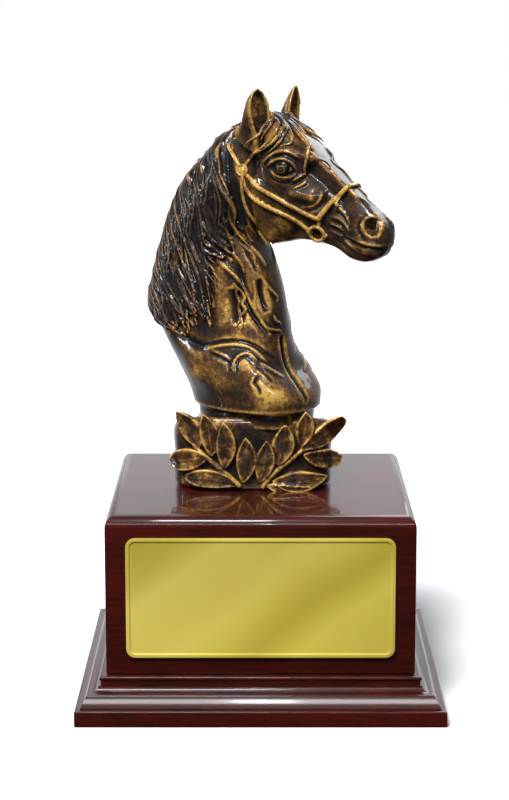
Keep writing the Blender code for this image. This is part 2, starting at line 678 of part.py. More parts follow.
def plate_piece():
    """A sheet plate with round corners, its field sunk inside a narrow rim."""
    width = BLOCK_WIDTH - 2 * PLATE_SIDE_MARGIN
    height = BLOCK_HEIGHT - PLATE_TOP_MARGIN - PLATE_BOTTOM_MARGIN
    work = bmesh.new()
    bmesh.ops.create_cube(work, size=1)
    bmesh.ops.scale(work, vec=(width, PLATE_THICKNESS, height), verts=work.verts)
    corners = [e for e in work.edges if abs(e.verts[0].co.y - e.verts[1].co.y) > PLATE_THICKNESS / 2]
    bmesh.ops.bevel(work, geom=corners, offset=PLATE_CORNER, segments=6, profile=0.5, affect="EDGES")
    work.faces.ensure_lookup_table()
    front = [f for f in work.faces if f.normal.y < -0.5]
    bmesh.ops.inset_region(work, faces=front, thickness=PLATE_RIM)
    bmesh.ops.inset_region(work, faces=front, thickness=PLATE_SUNK, depth=-PLATE_SUNK)
    mesh = bpy.data.meshes.new("name_plate")
    work.to_mesh(mesh)
    work.free()
    plate = bpy.data.objects.new("name_plate", mesh)
    plate.location.y = -BLOCK_WIDTH / 2 - GLUE_GAP - PLATE_THICKNESS / 2
    plate.location.z = block_bottom() + PLATE_BOTTOM_MARGIN + height / 2
    return plate


def casting_piece():
    mesh = casting()
    mesh.name = "horse_casting"
    underside = Matrix.Translation((HORSE_X, HORSE_Y, block_top() + GLUE_GAP))
    low = min(v.co.z for v in mesh.vertices)
    size = Matrix.Scale(HORSE_HEIGHT / GRID_HEIGHT, 4)
    mesh.transform(underside @ size @ Matrix.Translation((0, 0, -low)))
    return bpy.data.objects.new("horse_casting", mesh)


def material(name, color, roughness, metallic, coat):
    made = bpy.data.materials.new(name)
    made.use_nodes = True
    shader = made.node_tree.nodes["Principled BSDF"]
    shader.inputs["Base Color"].default_value = (*color, 1)
    shader.inputs["Roughness"].default_value = roughness
    shader.inputs["Metallic"].default_value = metallic
    shader.inputs["Coat Weight"].default_value = coat
    made.diffuse_color = (*color, 1)
    return made


def main():
    for thing in list(bpy.data.objects):
        bpy.data.objects.remove(thing)
    trophy = bpy.data.collections.new("horse_trophy")
    bpy.context.scene.collection.children.link(trophy)
    lacquer = material("red lacquer", (0.045, 0.008, 0.007), 0.12, 0.0, 0.8)
    gold = material("gold plate", (0.62, 0.50, 0.10), 0.35, 1.0, 0.0)
    bronze = material("antique bronze", (0.10, 0.06, 0.025), 0.3, 0.6, 0.5)
    pieces = (
        (foot_piece(), lacquer),
        (block_piece(), lacquer),
        (plate_piece(), gold),
        (casting_piece(), bronze),
    )
    for piece, finish in pieces:
        piece.data.materials.clear()
        piece.data.materials.append(finish)
        trophy.objects.link(piece)


main()
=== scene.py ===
# Horse head trophy: antique bronze bust with halter and laurel base on a red lacquered plinth.
import math

import bpy
import numpy as np
from mathutils import Matrix, Vector
from mathutils.bvhtree import BVHTree


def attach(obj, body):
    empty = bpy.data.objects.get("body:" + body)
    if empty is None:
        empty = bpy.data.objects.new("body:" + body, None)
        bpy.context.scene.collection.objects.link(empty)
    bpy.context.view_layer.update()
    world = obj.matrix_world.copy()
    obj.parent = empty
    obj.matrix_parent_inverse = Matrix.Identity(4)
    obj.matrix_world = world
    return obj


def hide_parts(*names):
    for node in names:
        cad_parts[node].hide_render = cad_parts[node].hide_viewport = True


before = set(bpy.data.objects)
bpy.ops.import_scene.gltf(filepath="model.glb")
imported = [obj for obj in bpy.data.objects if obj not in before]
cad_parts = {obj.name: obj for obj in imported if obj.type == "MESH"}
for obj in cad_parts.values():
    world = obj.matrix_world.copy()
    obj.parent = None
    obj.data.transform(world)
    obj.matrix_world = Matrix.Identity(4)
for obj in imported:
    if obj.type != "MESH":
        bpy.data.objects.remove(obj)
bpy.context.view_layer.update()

near, far = -1, 1  # the horse's sides along v: near is towards the camera


# curves and skins, on the horse's own grid in millimetres: u forward, v to its left, w up
def smoothThrough(knots, at):
    xs, ys = np.array(knots, float).T
    gap = np.diff(xs)
    slope = np.diff(ys) / gap
    tangent = np.zeros_like(ys)
    tangent[0], tangent[-1] = slope[0], slope[-1]
    product = slope[:-1] * slope[1:]
    total = np.where(product > 0, slope[:-1] + slope[1:], 1.0)
    tangent[1:-1] = np.where(product > 0, 2 * product / total, 0.0)
    at = np.clip(np.asarray(at, float), xs[0], xs[-1])
    i = np.clip(np.searchsorted(xs, at, side="right") - 1, 0, len(xs) - 2)
    t = (at - xs[i]) / gap[i]
    low = ys[i] * (2 * t**3 - 3 * t**2 + 1) + tangent[i] * gap[i] * (t**3 - 2 * t**2 + t)
    return low + ys[i + 1] * (3 * t**2 - 2 * t**3) + tangent[i + 1] * gap[i] * (t**3 - t**2)


def spline(points, count, closed=False):
    points = np.array(points, float)
    n = len(points)
    if closed:
        before, after = np.roll(points, 1, 0), np.roll(points, -1, 0)
        at = np.linspace(0, n, count, endpoint=False)
    else:
        before = np.vstack([2 * points[0] - points[1], points[:-1]])
        after = np.vstack([points[1:], 2 * points[-1] - points[-2]])
        at = np.linspace(0, n - 1, count)
    tangent = (after - before) / 2
    i = np.minimum(at.astype(int), n - 1 if closed else n - 2)
    j = (i + 1) % n
    t = (at - i)[:, None]
    low = points[i] * (2 * t**3 - 3 * t**2 + 1) + tangent[i] * (t**3 - 2 * t**2 + t)
    return low + points[j] * (3 * t**2 - 2 * t**3) + tangent[j] * (t**3 - t**2)


def unitOf(vectors):
    return vectors / np.maximum(np.linalg.norm(vectors, axis=-1, keepdims=True), 1e-9)


def loft(rings):
    rings = np.array(rings, float)
    count, sides = rings.shape[:2]
    points = [*rings.reshape(-1, 3), rings[0].mean(0), rings[-1].mean(0)]
    top = (count - 1) * sides
    faces = []
    for j in range(sides):
        k = (j + 1) % sides
        for i in range(0, top, sides):
            faces.append((i + j, i + k, i + sides + k, i + sides + j))
        faces.append((count * sides, k, j))
        faces.append((count * sides + 1, top + j, top + k))
    return np.array(points), faces


def squared(angles, power):  # a round section for a power of 1, squarer below it
    return [np.sign(part) * np.abs(part) ** power for part in (np.cos(angles), np.sin(angles))]


def joinSkins(skins):
    points, faces, offset = [], [], 0
    for skinPoints, skinFaces in skins:
        points.append(skinPoints)
        faces.extend(tuple(i + offset for i in face) for face in skinFaces)
        offset += len(skinPoints)
    return np.vstack(points), faces


def turnUpright(points, angle):
    cos, sin = math.cos(angle), math.sin(angle)
    return points @ np.array([[cos, -sin, 0], [sin, cos, 0], [0, 0, 1]]).T


# objects and modifiers
def deselect():
    if bpy.context.mode != "OBJECT":
        bpy.ops.object.mode_set(mode="OBJECT")
    bpy.ops.object.select_all(action="DESELECT")


def pickOnly(piece):
    deselect()
    piece.select_set(True)
    bpy.context.view_layer.objects.active = piece


def makePiece(name, skin):
    points, faces = skin
    mesh = bpy.data.meshes.new(name)
    mesh.from_pydata(points.tolist(), [], faces)
    piece = bpy.data.objects.new(name, mesh)
    bpy.context.scene.collection.objects.link(piece)
    pickOnly(piece)
    bpy.ops.object.mode_set(mode="EDIT")
    bpy.ops.mesh.select_all(action="SELECT")
    bpy.ops.mesh.normals_make_consistent(inside=False)
    bpy.ops.object.mode_set(mode="OBJECT")
    return piece


def finishWith(piece, kind, **values):
    pickOnly(piece)
    modifier = piece.modifiers.new(kind, kind)
    for key, value in values.items():
        setattr(modifier, key, value)
    bpy.ops.object.modifier_apply(modifier=modifier.name)


def fuse(name, skins, voxel, smoothing):
    piece = makePiece(name, joinSkins(skins))
    finishWith(piece, "REMESH", mode="VOXEL", voxel_size=voxel)
    if smoothing:
        finishWith(piece, "SMOOTH", factor=0.5, iterations=smoothing)
    return piece


def selectIn(piece, kind, chosen):  # the chosen edges or faces, left selected in edit mode
    pickOnly(piece)
    bpy.ops.object.mode_set(mode="EDIT")
    bpy.ops.mesh.select_mode(type=kind)
    bpy.ops.mesh.select_all(action="DESELECT")
    bpy.ops.object.mode_set(mode="OBJECT")
    parts = piece.data.edges if kind == "EDGE" else piece.data.polygons
    parts.foreach_set("select", np.asarray(chosen, bool))
    bpy.ops.object.mode_set(mode="EDIT")


def pointsOf(piece):
    points = np.empty(len(piece.data.vertices) * 3)
    piece.data.vertices.foreach_get("co", points)
    return points.reshape(-1, 3)


def normalsOf(piece):
    normals = np.empty(len(piece.data.vertices) * 3)
    piece.data.vertex_normals.foreach_get("vector", normals)
    return normals.reshape(-1, 3)


def setPoints(piece, points):
    piece.data.vertices.foreach_set("co", points.ravel())
    piece.data.update()


def surfaceOf(piece):
    return BVHTree.FromPolygons(pointsOf(piece), [tuple(f.vertices) for f in piece.data.polygons])


def setLayer(piece, name, values):
    layer = piece.data.attributes.new(name, "FLOAT", "POINT")
    layer.data.foreach_set("value", np.asarray(values, float))


# horse: proportions of the bust on its grid
horse = {
    "grid": 0.001,
    "turn": math.radians(32),
    "x": -0.003,
    "y": 0.004,
    "foot": 0.0789,
    "poll": (4.0, 143.1),
    "headDown": math.radians(34.3),
    "voxel": 0.58,
    "headTop": ((-4, 0), (0, 2.5), (5, 5.2), (12, 6.6), (20, 6.8), (28, 6.0), (38, 4.6), (49, 3.4),
                (60, 2.6), (67, 1.6), (70.5, -0.6), (72.4, -3.6), (73.4, -7)),
    "headBottom": ((-4, -14), (5, -15), (12, -17), (16, -26), (21, -31.5), (26, -34.8), (31, -36.0),
                   (36, -32.0), (41, -26.8), (46, -23.6), (52, -20.8), (57, -19.4), (62, -19.0),
                   (67, -17.2), (71, -13.8), (73.4, -9.5)),
    "nasalHalf": ((-4, 4), (5, 6.5), (13, 9), (20, 10), (27, 8.4), (34, 6.2), (42, 5.0), (54, 4.2),
                  (60, 4.4), (67, 5.0), (71, 3.8), (73.4, 2.0)),
    "browHalf": ((-4, 6), (5, 8.5), (14, 11.4), (22, 12.8), (29, 11.0), (38, 8.0), (46, 6.7),
                 (54, 6.2), (60, 6.8), (67, 7.2), (71, 5.2), (73.4, 2.4)),
    "cheekHalf": ((-4, 6), (5, 8), (14, 9.6), (22, 10.8), (30, 10.6), (38, 9.0), (46, 7.2),
                  (54, 6.3), (60, 6.3), (67, 6.4), (71, 5.0), (73.4, 2.4)),
    "jawHalf": ((-4, 4), (5, 6), (14, 7), (22, 7.6), (30, 7.2), (38, 6.0), (46, 5.0), (54, 4.4),
                (60, 4.6), (67, 4.6), (71, 3.6), (73.4, 2.0)),
    # crest u and w, throat u and w, half width
    "neck": ((3, 143, 16, 131, 6), (-8.5, 139.5, 9, 119, 8), (-19, 132, 4, 108, 9.5),
             (-28, 122, 4, 97, 11), (-35, 109, 8, 88, 12.5), (-40, 94, 11.5, 77, 14),
             (-43.5, 79, 13.5, 65, 16), (-45.5, 68, 15, 56, 18), (-40, 58, 17, 48, 20),
             (-33, 47, 22, 41.5, 20.5), (-28, 38, 25.5, 37, 19.8), (-26, 32.5, 26.2, 32.3, 19.3),
             (-25.4, 30.9, 26.2, 30.9, 19.2), (-24, 30.3, 24.6, 30.3, 17.4), (-23, 24, 24, 24, 17)),
    "neckSection": ((0.42, 0.06), (0.74, 0.22), (1.0, 0.5), (0.94, 0.76), (0.62, 0.95)),
}

# ears: middle of the opening at root and tip, how far it turns outwards, half widths, depths, hollow, wall
ears = {
    near: {"root": (10.4, 8.6, 131.0), "tip": (10.1, 12.2, 156.2), "opens": math.radians(28),
           "half": ((0, 3.2), (0.2, 3.6), (0.34, 3.6), (0.45, 4.0), (0.64, 4.6), (0.8, 4.2), (0.88, 3.3),
                    (0.95, 2.0), (1, 0.5)),
           "deep": ((0, 3), (0.14, 9), (0.29, 12.4), (0.43, 9.0), (0.635, 6.2), (0.87, 3.2), (1, 0.8))},
    far: {"root": (12.4, 9.4, 131.0), "tip": (13.6, 10.4, 156.6), "opens": math.radians(0),
          "half": ((0, 3.6), (0.3, 4.0), (0.5, 4.3), (0.68, 4.3), (0.85, 3.0), (0.95, 1.6), (1, 0.5)),
          "deep": ((0, 9), (0.4, 7.6), (0.6, 6.0), (0.8, 3.6), (0.92, 2.2), (1, 0.6))},
    "hollow": 1.8,
    "hollowFrom": 0.27,
    "wall": 0.7,
}


def onHead(s, n):  # from the head's own lengths, along the face and up from it, to u and w
    cos, sin = math.cos(horse["headDown"]), math.sin(horse["headDown"])
    return horse["poll"][0] + s * cos + n * sin, horse["poll"][1] - s * sin + n * cos


def alongHead(u, w):  # and back
    cos, sin = math.cos(horse["headDown"]), math.sin(horse["headDown"])
    u, w = u - horse["poll"][0], w - horse["poll"][1]
    return u * cos - w * sin, u * sin + w * cos


def headSkin():
    rings = []
    parts = ("headTop", "headBottom", "nasalHalf", "browHalf", "cheekHalf", "jawHalf")
    for s in np.linspace(horse["headTop"][0][0], horse["headTop"][-1][0], 90):
        top, bottom, nasal, brow, cheek, jaw = [smoothThrough(horse[part], s) for part in parts]
        half = [(nasal * 0.55, 0.01), (nasal, 0.06), (brow, 0.26), (cheek, 0.58), (jaw, 0.88),
                (jaw * 0.5, 0.985)]
        outline = half + [(-v, share) for v, share in reversed(half)]
        ring = []
        for v, share in spline(outline, 64, closed=True):
            u, w = onHead(s, top - share * (top - bottom))
            ring.append((u, v, w))
        rings.append(ring)
    return loft(rings)


def neckSkin():
    outline = [(0, 0), *horse["neckSection"], (0, 1)]
    outline += [(-side, share) for side, share in reversed(horse["neckSection"])]
    section = spline(outline, 60, closed=True)
    side, share = section[:, 0], section[:, 1]
    rings = []
    for crestU, crestW, throatU, throatW, half in spline(horse["neck"], 140):
        rings.append(np.stack([crestU + (throatU - crestU) * share, half * side,
                               crestW + (throatW - crestW) * share], axis=1))
    return loft(rings)


def earSkin(side):
    ear, wall = ears[side], ears["wall"]
    root, tip = np.array(ear["root"]), np.array(ear["tip"])
    cos, sin = math.cos(ear["opens"]), math.sin(ear["opens"])
    back = np.radians(np.linspace(-90, 90, 21))
    front = np.radians(np.linspace(78, -78, 17))
    rings = []
    for t in np.linspace(0, 1, 44):
        half, deep = smoothThrough(ear["half"], t), smoothThrough(ear["deep"], t)
        hollow = min(deep * 0.6, ears["hollow"]) * min(1.0, max(0.0, (t - ears["hollowFrom"]) * 7))
        outer = np.stack([half * np.sin(back), -deep * np.cos(back)], axis=1)
        inner = np.stack([(half - wall) * np.sin(front), wall - (hollow + wall) * np.cos(front)], axis=1)
        x, y = np.vstack([outer, inner]).T
        middle = root + (tip - root) * t
        rings.append(np.stack([middle[0] + y - x * sin, middle[1] + x * cos,
                               np.full(len(x), middle[2])], axis=1))
    points, faces = loft(rings)
    return points * (1, side, 1), faces


# drawing on a surface: (u, w) lines seen along v, from one side
def seenAt(surface, u, w, side):
    place, normal, _, _ = surface.ray_cast(Vector((u, side * 60, w)), Vector((0, -side, 0)))
    if place is None:
        place, normal, _, _ = surface.find_nearest(Vector((u, side * 2, w)))
    return np.array(place), np.array(normal)


def apart(pairs):  # places and normals, each in one array
    return np.array([place for place, _ in pairs]), np.array([normal for _, normal in pairs])


def evened(points, normals):
    for _ in range(3):
        points[1:-1] = (points[:-2] + 2 * points[1:-1] + points[2:]) / 4
        normals[1:-1] = normals[:-2] + 2 * normals[1:-1] + normals[2:]
    return points, unitOf(normals)


def drawOn(surface, line, side, count):
    return evened(*apart([seenAt(surface, u, w, side) for u, w in spline(line, count)]))


def layOn(surface, line, count):
    return evened(*apart([surface.find_nearest(Vector(place))[:2] for place in spline(line, count)]))


def onFace(*line):
    return [onHead(s, n) for s, n in line]


def ringAt(s, n, long, tall, lean):
    cos, sin = math.cos(lean), math.sin(lean)
    turn = [(long * math.cos(a), tall * math.sin(a)) for a in np.radians(np.linspace(0, 360, 17))]
    return [(s + x * cos - y * sin, n + x * sin + y * cos) for x, y in turn]


# eyes, with the colours from the pupil out to the rim
eye = {
    "place": (24.2, -4.2),
    "lean": math.radians(30),
    "ball": 3.7,
    "sunk": 2.7,
    "stops": ((0.0, (0.07, 0.045, 0.016)), (0.10, (0.05, 0.03, 0.012)), (0.16, (0.010, 0.007, 0.004)),
              (0.26, (0.012, 0.008, 0.004)), (0.31, (0.13, 0.085, 0.025)), (0.36, (0.12, 0.08, 0.024)),
              (0.42, (0.008, 0.006, 0.004)), (1.0, (0.004, 0.003, 0.002))),
}

# sculpting: each stroke is a line, how far it spreads, how far it raises, and 0, or 1 where its ends fade,
# or 2 where they fade and it is on the near side alone; the face's lines are (s, n), the body's (u, w)
nostril = {"place": (64.8, -1.6), "lean": math.radians(-20)}
sculpt = {
    "strength": 0.72,
    "triangles": 0.72,
    "ridges": (0.07, 0.26, 0.9),
    "faceFrom": 12,
    "muzzleFrom": 44,
    "faceBand": (-16.5, 5.5),
    "neckTop": 85,
    "faceForms": (
        (((9, -22), (20, -22)), 8.0, 1.4, 0),
        (((37, -30), (39, -24), (38, -19)), 2.4, -0.5, 1),
        ((eye["place"], (24.6, -4.4)), 6.5, 1.4, 0),
        (((14, -3), (15.5, -1)), 2.6, -1.2, 0),
        (((16, -7), (19.5, 0.9), (24, 3.0), (29.5, 3.8)), 2.0, 1.5, 0),
        (((32.5, -10.0), (36.2, -8.4), (38.5, -7.4)), 3.0, 1.9, 0),
        (((31, -13.6), (42, -12)), 1.6, 0.6, 0),
        (((33, 0.2), (41, -0.8), (49, -1.5)), 3.2, -1.5, 0),
        (((44, -6), (47, -8)), 2.6, -1.0, 0),
        (((27, 5.0), (38, 3.9), (52, 2.6)), 1.4, 0.7, 0),
        (((49, -13), (56, -12)), 3.0, -0.6, 0),
        (ringAt(*nostril["place"], 4.6, 3.9, nostril["lean"]), 1.6, 0.6, 0),
        ((nostril["place"], (65.9, -2.4)), 3.3, -4.6, 0),
        (((68, -8), (64, -9.5)), 2.4, 0.7, 0),
        (((67, -14), (62, -15.5)), 3.0, 0.6, 0),
    ),
    "bodyForms": (
        (((0.5, 89), (3.2, 78), (7.6, 68.5), (12.6, 60.5)), 1.8, -1.3, 2),
        (((-5.5, 86), (-5.5, 76), (-3.5, 66)), 3.6, 0.9, 0),
        (((0.2, 79), (1.6, 72), (3.2, 65)), 2.5, -2.8, 1),
        (((12, 46), (18, 38)), 7.0, 2.2, 0),
        (((-16, 46), (-4, 42)), 9.0, 1.6, 0),
        (((-30, 62), (-18, 57), (-8, 55)), 2.2, -1.3, 1),
        (((18.4, 61), (19.6, 56), (22.8, 43), (26.8, 34)), 1.2, -1.6, 2),
        (((7.3, 50.3), (7.9, 49)), 3.0, 1.2, 0),
    ),
    "faceLines": (
        (((17.6, -8.8), (18.7, -5.0), (21.1, -1.5), (24.2, -0.2), (26.9, -0.8), (28.9, -2.2)),
         0.75, 1.1, 1),
        (((18.8, -7.8), (21.5, -8.1), (24.2, -7.6), (27.0, -6.2), (28.8, -4.5), (29.3, -2.9)),
         0.6, 0.6, 1),
        (ringAt(*eye["place"], 4.5, 2.7, eye["lean"]), 0.7, -0.8, 0),
        (((15.2, -9.8), (16.0, -5.3), (18.0, -1.2), (20.3, 1.6), (23, 2.7), (25.4, 2.8), (27.6, 2.7)),
         0.6, 0.7, 1),
        (((16.6, -8.5), (17.6, -4.6), (19.8, -0.7), (22.6, 1.2), (26, 1.0)), 0.6, -0.7, 1),
        (((20.5, -9.9), (24.5, -9.6), (28.2, -7.7), (30.4, -5.0)), 0.7, -0.6, 1),
        (((29.2, -7.1), (30.6, -3.5), (31.3, -1.2)), 0.6, 0.8, 1),
        (((30.4, -8.0), (31.9, -4.6), (32.4, -2.2)), 0.6, -0.7, 1),
        (((31.4, -8.4), (33.0, -5.4), (33.6, -3.4)), 0.6, 0.6, 1),
        (((37.0, -12.8), (40.9, -9.8), (41.6, -6.1), (40.1, -2.9)), 0.8, 0.8, 1),
        (((38.6, -13.2), (42.6, -9.8), (43.0, -6.0), (41.4, -2.2)), 0.8, -0.7, 1),
        (((27.5, 4.9), (31.6, 5.3), (34.8, 5.0), (39.5, 4.3), (44.3, 3.8)), 0.6, 0.6, 1),
        (((47.1, 3.6), (53.0, 3.0), (58.7, 2.6)), 0.6, 0.4, 1),
        (((48.4, -4.9), (49.8, -4.2), (53.8, -4.7), (57.5, -6.8)), 0.6, 0.7, 1),
        (((48.8, -6.7), (50.9, -5.7), (55.0, -6.2), (58.2, -8.0)), 0.6, -0.7, 1),
        (((48.7, -8.8), (52.1, -7.3), (56.4, -7.7), (58.8, -8.9)), 0.6, 0.6, 1),
        (((48.6, -10.2), (52.6, -8.9), (56.6, -9.2)), 0.6, -0.6, 1),
        (((49.4, -11.5), (53.1, -10.3), (56.2, -10.5)), 0.6, 0.6, 1),
        (((49.6, -13.0), (53.6, -11.6), (58.0, -11.4)), 0.6, -0.6, 1),
        (((50.1, -14.3), (55.2, -12.8), (60.7, -12.8), (67.0, -13.0)), 0.7, 0.6, 1),
        (((52.8, -16.0), (58.8, -14.8), (63.6, -15.0)), 0.6, -0.5, 1),
        (((73.6, -6.2), (70.6, -8.0), (67.6, -9.4), (63.6, -10.8), (59.6, -12.0), (55.8, -13.0)),
         0.75, -1.6, 1),
        (((73.0, -4.4), (70.4, -6.2), (67.4, -7.7), (63.4, -9.2)), 0.8, 0.6, 1),
        (((72.6, -9.2), (69.6, -10.9), (66.0, -12.4)), 0.9, 0.6, 1),
        (ringAt(*nostril["place"], 4.4, 3.8, nostril["lean"]), 0.6, 0.5, 0),
        (((64.2, 0.9), (67.0, 0.1), (68.6, -2.2)), 0.6, 0.9, 1),
        (((64.8, 0.0), (66.4, -0.8), (66.9, -2.6)), 0.7, 1.2, 1),
        (((59.4, 0.8), (60.0, -4.0), (62.5, -6.4), (66, -7.0)), 0.9, -0.7, 1),
        (((14, -15.5), (20, -14.0), (26, -12.8)), 0.9, -0.5, 1),
        (((12.4, -9.5), (16.3, -11.3), (20.5, -13.1)), 0.8, 0.5, 1),
    ),
    "bodyLines": (
        (((-9.5, 91), (-4.2, 86.8), (0.2, 83), (3.9, 77.2), (6.8, 71.2), (10, 65.8), (13.4, 59.4)),
         0.7, 1.2, 1),
        (((0.4, 81), (2.0, 77.6), (5.6, 69.8), (8.6, 66), (11.6, 62.3)), 0.9, -1.2, 2),
        (((9.2, 66.4), (12.1, 63.2), (14.9, 61.2)), 0.5, 0.9, 2),
        (((8.0, 82.6), (9.6, 76), (11.4, 69.4)), 1.5, -3.2, 2),
        (((8.6, 82.6), (10.5, 78.7), (11.8, 75.2), (12.4, 72.4)), 0.5, 1.0, 2),
        (((6.2, 82.4), (7.8, 77.2), (7.1, 73.6), (8.2, 69.6)), 0.5, 0.6, 2),
        (((12.5, 68.4), (13.1, 65.4), (14.4, 63.7)), 0.5, 1.2, 2),
        (((3.2, 95.2), (6.4, 90.4), (8.4, 86.3)), 0.7, 0.8, 1),
        (((2.2, 93.4), (5.2, 88.8), (7.0, 85)), 0.7, -0.7, 1),
        (((-11, 55.9), (-3.5, 58.0), (1.5, 58.6), (6.4, 58.2), (11, 55.8), (15.3, 51.2)), 0.8, -1.1, 1),
        (((-10, 54.6), (-3.5, 56.6), (1.5, 57.3), (6.4, 56.8), (10.6, 54.5), (14.6, 50.2)), 0.7, 0.8, 1),
        (((-6.9, 53.7), (-1.7, 52.0), (1.7, 50.2), (2.7, 46.9)), 0.6, -0.9, 1),
        (((-7.0, 55.0), (-1.9, 53.2), (1.9, 51.6)), 0.6, 0.6, 1),
        (((4.7, 46.4), (3.5, 50.0), (4.5, 53.0), (7.1, 54.2), (9.9, 53.2), (12.2, 50.6)), 0.6, 0.8, 1),
        (((5.8, 46.6), (4.8, 50.0), (5.7, 52.2), (7.4, 52.9), (9.4, 51.9), (11.2, 49.6)), 0.6, -0.9, 1),
        (((12.4, 50.9), (15.4, 48.4), (19.4, 44.2)), 0.6, 0.8, 1),
        (((12.2, 49.4), (15.0, 47.2), (18.6, 43.4)), 0.6, -0.8, 1),
        (((13.0, 47.9), (15.3, 45.9), (17.6, 43.6)), 0.6, 0.6, 1),
        (((14.2, 46.0), (13.0, 43.6), (14.8, 41.4), (15.6, 38.8)), 0.7, -0.9, 1),
        (((12.8, 45.2), (11.8, 43.2), (13.6, 40.8)), 0.6, 0.6, 1),
        (((-25.6, 31.3), (-12, 31.3), (2, 31.3), (16, 31.3), (26.0, 31.3)), 0.6, 0.4, 0),
    ),
}


def sculptStrokes(piece, surface, faceStrokes, bodyStrokes, strength):
    points, normals = pointsOf(piece), normalsOf(piece)
    strokes = [*((onFace(*line), *rest) for line, *rest in faceStrokes), *bodyStrokes]
    for line, wide, height, fades in strokes:
        for side in (near,) if fades == 2 else (near, far):
            stroke, _ = drawOn(surface, line, side, 18)
            low, high = stroke.min(0) - 2.6 * wide, stroke.max(0) + 2.6 * wide
            close = np.where(((points > low) & (points < high)).all(1))[0]
            start, step = stroke[:-1], np.diff(stroke, axis=0)
            length = np.maximum((step**2).sum(1), 1e-9)
            offset = points[close, None] - start
            along = np.clip((offset * step).sum(2) / length, 0, 1)
            away = ((offset - along[..., None] * step) ** 2).sum(2)
            best = away.argmin(1)
            rows = np.arange(len(close))
            reach = strength * height * np.exp(-away[rows, best] / wide**2)
            if fades:
                t = (best + along[rows, best]) / len(step)
                reach *= 1 - np.abs(2 * t - 1) ** 3
            points[close] += normals[close] * reach[:, None]
    setPoints(piece, points)


def refineFace(piece):  # twice the detail on the face
    centres = np.array([f.center[:] for f in piece.data.polygons])
    u, w = centres[:, 0], centres[:, 2]
    s, n = alongHead(u, w)
    low, high = sculpt["faceBand"]
    inBand = (s > sculpt["faceFrom"]) & (n > low) & (n < high)
    selectIn(piece, "FACE", (w > sculpt["neckTop"]) & (inBand | (s > sculpt["muzzleFrom"])))
    bpy.ops.mesh.subdivide(number_cuts=1)
    bpy.ops.mesh.vertices_smooth(factor=0.5, repeat=1)
    bpy.ops.object.mode_set(mode="OBJECT")


def averaged(piece, points, rounds):  # each point with its neighbours
    ends = np.empty(len(piece.data.edges) * 2, int)
    piece.data.edges.foreach_get("vertices", ends)
    a, b = ends.reshape(-1, 2).T
    count = len(points)
    degree = np.bincount(a, minlength=count) + np.bincount(b, minlength=count)
    for _ in range(rounds):
        total = np.stack([np.bincount(a, points[b, k], count) + np.bincount(b, points[a, k], count)
                          for k in range(points.shape[1])], axis=1)
        points = 0.4 * points + 0.6 * total / degree[:, None]
    return points


def ridgeLayer(piece, fine, broad, reach):  # 0.5 on even ground, 1 on ridges, 0 in hollows
    points, normals = pointsOf(piece), normalsOf(piece)
    ridge = np.full(len(points), 0.5)
    for rounds, size, weight in ((3, fine, 0.40), (12, broad, 0.40), (50, reach, 0.35)):
        lift = ((points - averaged(piece, points, rounds)) * normals).sum(1)
        ridge += weight * np.tanh(lift / size)
    ridge = averaged(piece, ridge[:, None], 1)[:, 0]
    setLayer(piece, "ridge", np.clip(ridge, 0, 1))


# where the gold is rubbed on more than along the ridges: (u, w), spread, amount
gilding = {
    "inEars": 0.9,
    "behindEars": 0.3,
    "earsFrom": 140,
    "spots": (
        ((17, 38), 8, 0.15), ((12, 34), 6, 0.07), ((15.4, 36.3), 4, 0.03), ((-14.5, 44.8), 5, 0.38),
        ((-19, 38), 5, 0.2), ((9, 52), 4, 0.12), ((14, 62), 6, 0.1), ((11, 74), 5, 0.08),
        ((12, 86), 6, 0.06), ((-6, 83), 5, 0.14), ((-5, 70), 5, 0.05), ((2, 60), 6, 0.24),
        ((22, 103), 6, 0.24), ((14, 104), 8, 0.15), ((33, 113), 3, 0.10), ((58, 96), 5, 0.04),
        ((31, 118), 4, 0.05), ((46, 113), 4, 0.08), ((-20, 62), 5, 0.10), ((29, 42), 5, -0.22),
        ((21, 66), 5, -0.06), ((3, 142), 5, -0.12),
        ((-16, 57), 5, -0.25), ((-28, 56), 5, -0.25), ((-12, 64), 4, -0.2),
    ),
}


def giltLayer(piece):
    points = pointsOf(piece)
    gilt = np.zeros(len(points))
    for (u, w), size, amount in gilding["spots"]:
        gilt += amount * np.exp(-((points[:, 0] - u) ** 2 + (points[:, 2] - w) ** 2) / size**2)
    forward = normalsOf(piece)[:, 0]
    onEars = gilding["inEars"] * np.clip(forward, 0, 1) ** 2
    onEars -= gilding["behindEars"] * np.clip(-forward, 0, 1)
    gilt += np.clip((points[:, 2] - gilding["earsFrom"]) / 6, 0, 1) * onEars
    setLayer(piece, "gilt", gilt)


def strip(path, normals, width, thick, lift, squareness=1.0, sides=12):
    along = unitOf(np.gradient(path, axis=0))
    across = unitOf(np.cross(along, normals))
    up = unitOf(np.cross(across, along))
    t = np.linspace(0, 1, len(path))
    half = np.interp(t, np.linspace(0, 1, len(width)), width) / 2
    tall = np.interp(t, np.linspace(0, 1, len(thick)), thick) / 2
    angles = np.linspace(0, 2 * math.pi, sides, endpoint=False)
    x, y = squared(angles, squareness)
    return loft(path[:, None] + up[:, None] * lift + across[:, None] * (half[:, None] * x)[..., None]
                + up[:, None] * (tall[:, None] * y)[..., None])


